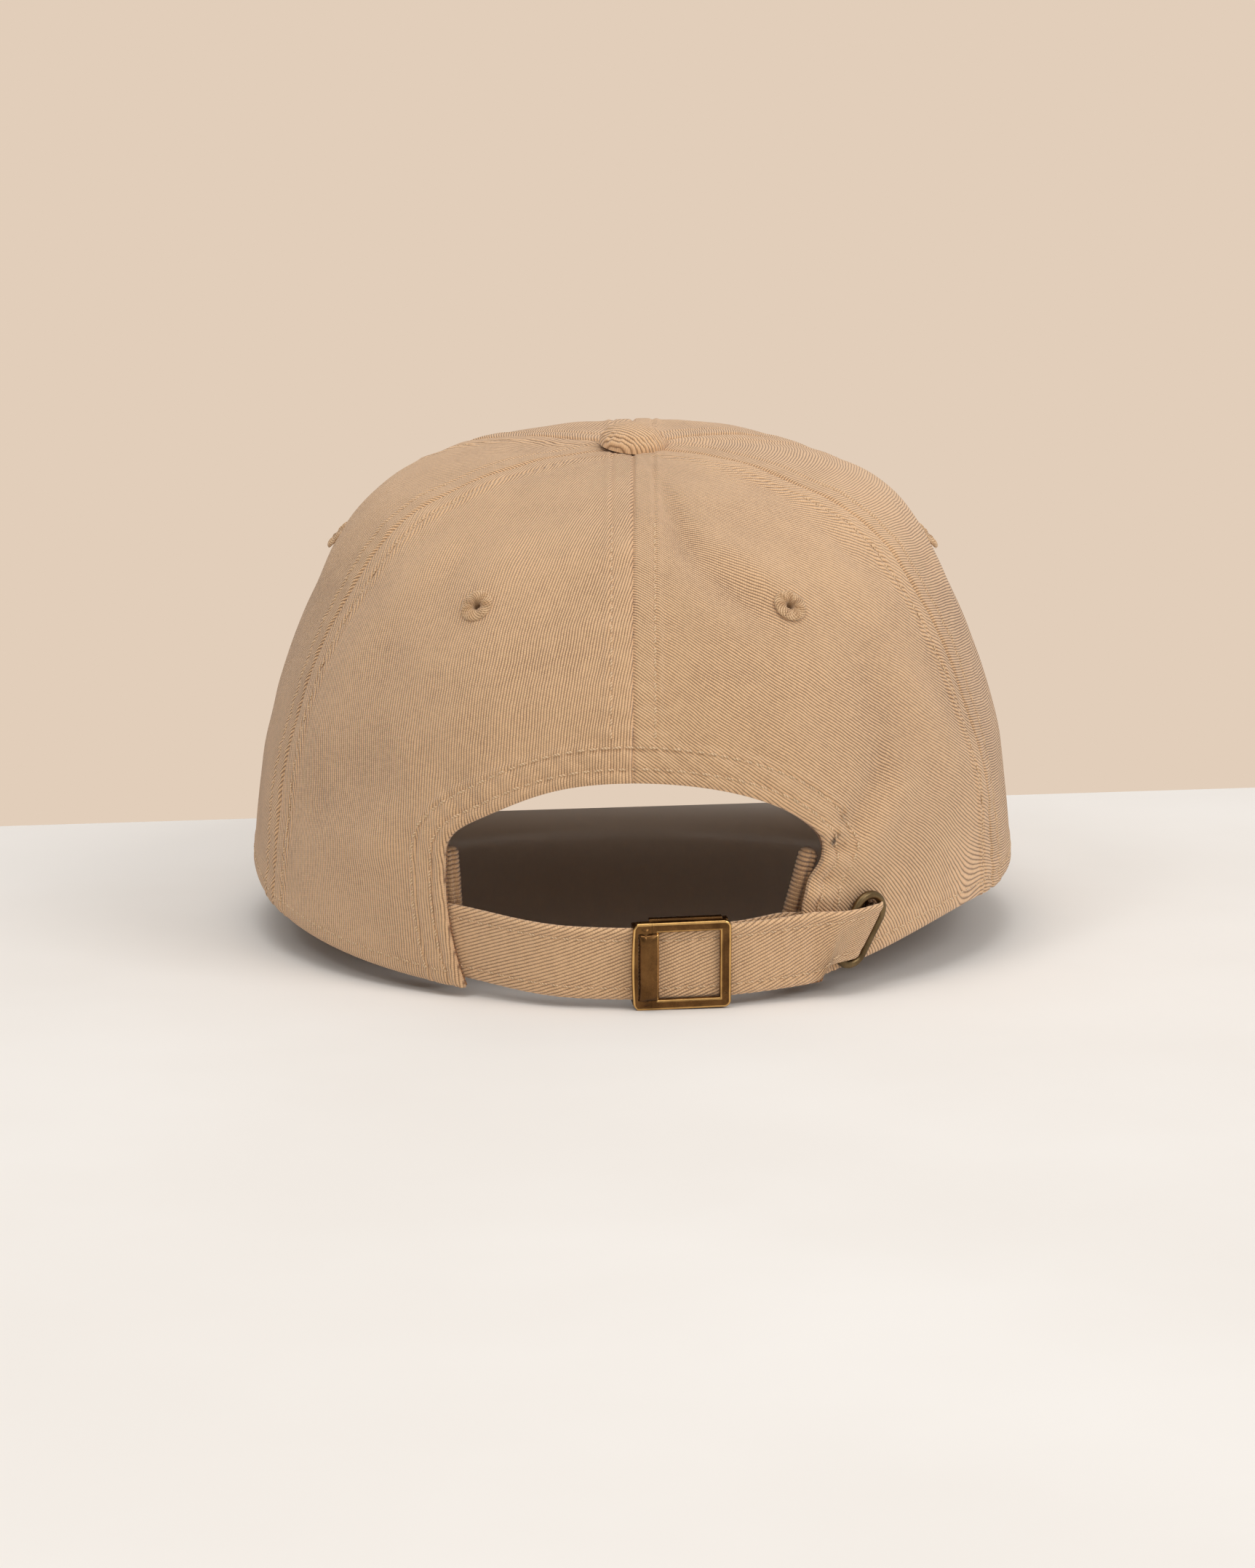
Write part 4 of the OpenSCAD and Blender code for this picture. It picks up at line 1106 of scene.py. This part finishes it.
def build_buckle_side():
    """Left side of the frame, fixed to the base, with the knuckles that hold the pin."""
    z_lines = stops([-BUCKLE_Z, -LENS_Z - LENS_GAP, LENS_Z + LENS_GAP, BUCKLE_Z])
    x, z = np.meshgrid(stops([-BUCKLE_X, SIDE_X, HINGE_X - 0.06]), z_lines, indexing="ij")
    knuckle = 0.6 * bump(x - CAM_X, 0.8) * smooth((8.9 - np.abs(z)) / 0.9)
    front = cast_front(x, z) + knuckle
    back = np.where(np.abs(z) > 8.05, 0.3, 0.78)
    keep = (middles(x) < SIDE_X) | (np.abs(middles(z)) > LENS_Z + LENS_GAP)
    buckle_sheet("buckle_side_cast", x, z, front, back, keep, "buckle")


def rounded_boxes(name, boxes, radius):
    """Brass plates with rounded edges, each given as its lowest and highest corners."""
    bm = bmesh.new()
    for low, high in boxes:
        made = bmesh.ops.create_cube(bm, size=1.0)
        for v in made["verts"]:
            v.co = [mix(a, b, c + 0.5) for a, b, c in zip(low, high, v.co)]
        edges = list({e for v in made["verts"] for e in v.link_edges})
        bmesh.ops.bevel(bm, geom=edges, offset=radius, segments=3, profile=0.5, affect="EDGES")
    bm.verts.ensure_lookup_table()
    verts = seat(in_buckle(np.array([v.co for v in bm.verts])))
    faces = [[v.index for v in f.verts] for f in bm.faces]
    bm.free()
    return make_object(name, verts, faces, verts[:, [0, 2]] / MM, BRASS, sharp=40)


def build_buckle_base():
    """Folded base: back plate, flanges round the strap's edges and arms for the loop's bar."""
    rear = PLATE_IN + PLATE_T
    boxes = [((-BUCKLE_X + 0.3, PLATE_IN, -EAR_Z - EAR_T), (BAR_X - 2.2, rear, EAR_Z + EAR_T))]
    for sign in (-1, 1):
        low, high = sorted((sign * EAR_Z, sign * (EAR_Z + EAR_T)))
        boxes.append(((-BUCKLE_X + 0.3, FLANGE_OUT, low), (6.5, rear, high)))
        boxes.append(((3.5, PLATE_IN, low), (BAR_X + 1.0, BAR_Y + 0.8, high)))
    boxes.append(((-6.8, FLANGE_OUT, EAR_Z + 0.3), (8.7, 0.75, BUCKLE_Z + 0.5)))
    boxes.append(((-6.8, FLANGE_OUT, -BUCKLE_Z - 0.2), (8.7, 0.6, -EAR_Z - 0.3)))
    ob = rounded_boxes("buckle_base_folded", boxes, 0.22)
    place_piece(ob, "buckle", "antique_brass", "buckle_base")


def rod(name, x, y, radius, half, *nodes):
    """Round brass bar along Z in the buckle's frame, with rounded ends."""
    rings, around = 40, 32
    turn = np.linspace(0, 2 * math.pi, around + 1)[:-1]
    z = np.linspace(-half, half, rings)[:, None]
    r = radius * np.sqrt(np.clip((half - np.abs(z)) / 0.3, 0.05, 1))
    verts = seat(in_buckle(spread(x + r * np.cos(turn), y + r * np.sin(turn), z))).reshape(-1, 3)
    ob = make_object(name, verts, tube_faces(rings, around), spread(turn, z).reshape(-1, 2), BRASS)
    place_piece(ob, "buckle", "antique_brass", *nodes)


def build_buckle_rods():
    rod("buckle_pin_turned", CAM_X, -CAM_OUT, 0.35, 8.0, "buckle_pin")
    rod("buckle_loop_bar", BAR_X, BAR_Y, 0.6, EAR_Z + 0.1)


def build_loop():
    """Short strap that wraps round the buckle's rear bar and runs in under the right panel."""
    wrap_r = 1.15
    turn = np.radians(np.linspace(90, 300, 40))
    wrap = in_buckle(spread(BAR_X + wrap_r * np.sin(turn), BAR_Y + wrap_r * np.cos(turn), 0))[::-1, :2]
    start = math.degrees(math.atan2(wrap[-1, 0], STRAP_AXIS_Y - wrap[-1, 1]))
    r_start = math.hypot(wrap[-1, 0], wrap[-1, 1] - STRAP_AXIS_Y)
    angle = mix(start, LOOP_END, np.linspace(0, 1, 90))
    r = mix(r_start, LOOP_R, smooth((angle - start) / (27 - start)))
    run = spread(r * sin_d(angle), STRAP_AXIS_Y - r * cos_d(angle))
    line = np.concatenate([wrap, run[1:]])
    tangent = unit(np.gradient(line, axis=0))
    normal = spread(tangent[:, 1], -tangent[:, 0])
    dist = np.concatenate([[0], np.cumsum(np.linalg.norm(np.diff(line, axis=0), axis=1))])
    half = STRAP_W / 2 - 0.5
    z = np.linspace(-half, half, 44)
    edge = half - np.abs(z)
    thick = LOOP_T / 2 - 0.22 * bump(edge, 0.4) - 0.06 * bump(edge - 2.4, 0.4)
    # It narrows and rises towards its sewn end, out of sight behind the strap
    along = np.degrees(np.arctan2(line[:, 0], STRAP_AXIS_Y - line[:, 1]))
    end = smooth((along - 23) / 8)[:, None]
    height = (STRAP_MID + 1.2 * end + z * (1 - 0.3 * end))[..., None]

    def face(sign):
        flat = line[:, None, :] + sign * thick[None, :, None] * normal[:, None, :]
        return np.concatenate([flat, height], axis=-1)

    uv = spread(dist[:, None], z[None, :])
    ob = shell("buckle_loop_cloth", seat(face(1)), seat(face(-1)), uv, STRAP_CLOTH)
    place_piece(ob, "buckle", "strap", "buckle_loop")


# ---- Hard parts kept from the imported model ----
def build_hard_parts():
    for name, material, bevel in (
        ("grommet_front", GUNMETAL, 0),
        ("grommet_back", GUNMETAL, 0.1),
        ("button_shell", ZINC, 0),
        ("button_rivet", ZINC, 0.1),
        ("brim_board", BOARD, 0),
    ):
        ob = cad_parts[name]
        ob.data.materials.clear()
        ob.data.materials.append(material)
        if bevel:
            mod = ob.modifiers.new("soft_edges", "BEVEL")
            mod.width = bevel * MM
            mod.segments = 3
            mod.limit_method = "ANGLE"
            mod.angle_limit = math.radians(35)


# ---- Stage, light, camera ----
def build_stage():
    """Thick table top whose far edge runs slightly askew."""
    white = mottled("stage_floor", 6.0, 4.0, (241, 239, 236), (236, 233, 229), 0.002, 0.4,
                    Roughness=0.75, Specular_IOR_Level=0.2)
    slope, far, half, thick = 0.175, 0.1387, 1.6, 0.03
    corners = [(-half, -half), (half, -half), (half, far + slope * half), (-half, far - slope * half)]
    verts = np.array([(x, y, z) for z in (0.0, -thick) for x, y in corners])
    sides = [(k, k + 4, (k + 1) % 4 + 4, (k + 1) % 4) for k in range(4)]
    make_object("stage_floor", verts, [(0, 1, 2, 3), (7, 6, 5, 4), *sides], None, white, sharp=30)


def area_light(name, where, target, size, power, colour):
    data = bpy.data.lights.new(name, "AREA")
    data.shape = "RECTANGLE"
    data.size, data.size_y = size
    data.energy = power
    data.color = colour
    ob = bpy.data.objects.new(name, data)
    ob.location = where
    ob.rotation_euler = (Vector(target) - Vector(where)).to_track_quat("-Z", "Y").to_euler()
    bpy.context.scene.collection.objects.link(ob)


def build_light():
    """The camera sees a plain wall, everything else a soft room, brighter above and to the right."""
    world = bpy.data.worlds.new("studio")
    bpy.context.scene.world = world
    world.use_nodes = True
    tree = world.node_tree
    kinds = ("Background", "TexCoord", "VectorMath", "MapRange", "LightPath", "MixShader")
    fill, aim, lit_side, strength, seen, choose = (tree.nodes.new(f"ShaderNode{kind}") for kind in kinds)
    wall = tree.nodes["Background"]
    wall.inputs[0].default_value = linear(226, 206, 186)
    wall.inputs[1].default_value = 1.0
    fill.inputs[0].default_value = linear(244, 238, 232)
    lit_side.operation = "DOT_PRODUCT"
    lit_side.inputs[1].default_value = (0.45, -0.1, 0.85)
    strength.interpolation_type = "SMOOTHSTEP"
    for key, value in {"From Min": -0.5, "From Max": 1.0, "To Min": 0.3, "To Max": 0.8}.items():
        strength.inputs[key].default_value = value
    for out, into in (
        (aim.outputs["Generated"], lit_side.inputs[0]),
        (lit_side.outputs["Value"], strength.inputs["Value"]),
        (strength.outputs[0], fill.inputs[1]),
        (seen.outputs["Is Camera Ray"], choose.inputs[0]),
        (fill.outputs[0], choose.inputs[1]),
        (wall.outputs[0], choose.inputs[2]),
        (choose.outputs[0], tree.nodes["World Output"].inputs[0]),
    ):
        tree.links.new(out, into)
    middle = (0, 0, 0.05)
    area_light("key", (1.7, -1.3, 1.7), middle, (1.2, 1.2), 17, (1.0, 0.985, 0.97))
    area_light("top", (-0.2, -0.4, 2.2), middle, (1.4, 1.4), 14, (1.0, 0.99, 0.98))
    area_light("glint", (-0.8, -1.0, 1.3), middle, (0.3, 0.3), 2.2, (1.0, 0.99, 0.98))


def build_camera():
    bpy.context.scene.view_settings.view_transform = "Standard"
    data = bpy.data.cameras.new("camera")
    data.sensor_width = 36
    data.lens = 5900 * 36 / 2156
    ob = bpy.data.objects.new("camera", data)
    ob.location = (-0.0012, -0.980, 0.200)
    ob.rotation_euler = (math.radians(90) - 0.1716, 0, 0)
    bpy.context.scene.collection.objects.link(ob)
    bpy.context.scene.camera = ob


build_camera()
build_stage()
build_light()
build_crown()
build_stitching()
build_eyelets()
build_button()
build_tapes()
build_facing()
build_sweatband()
build_rolls()
build_brim()
build_strap()
build_loop()
build_buckle_front()
build_buckle_side()
build_buckle_base()
build_buckle_rods()
build_hard_parts()
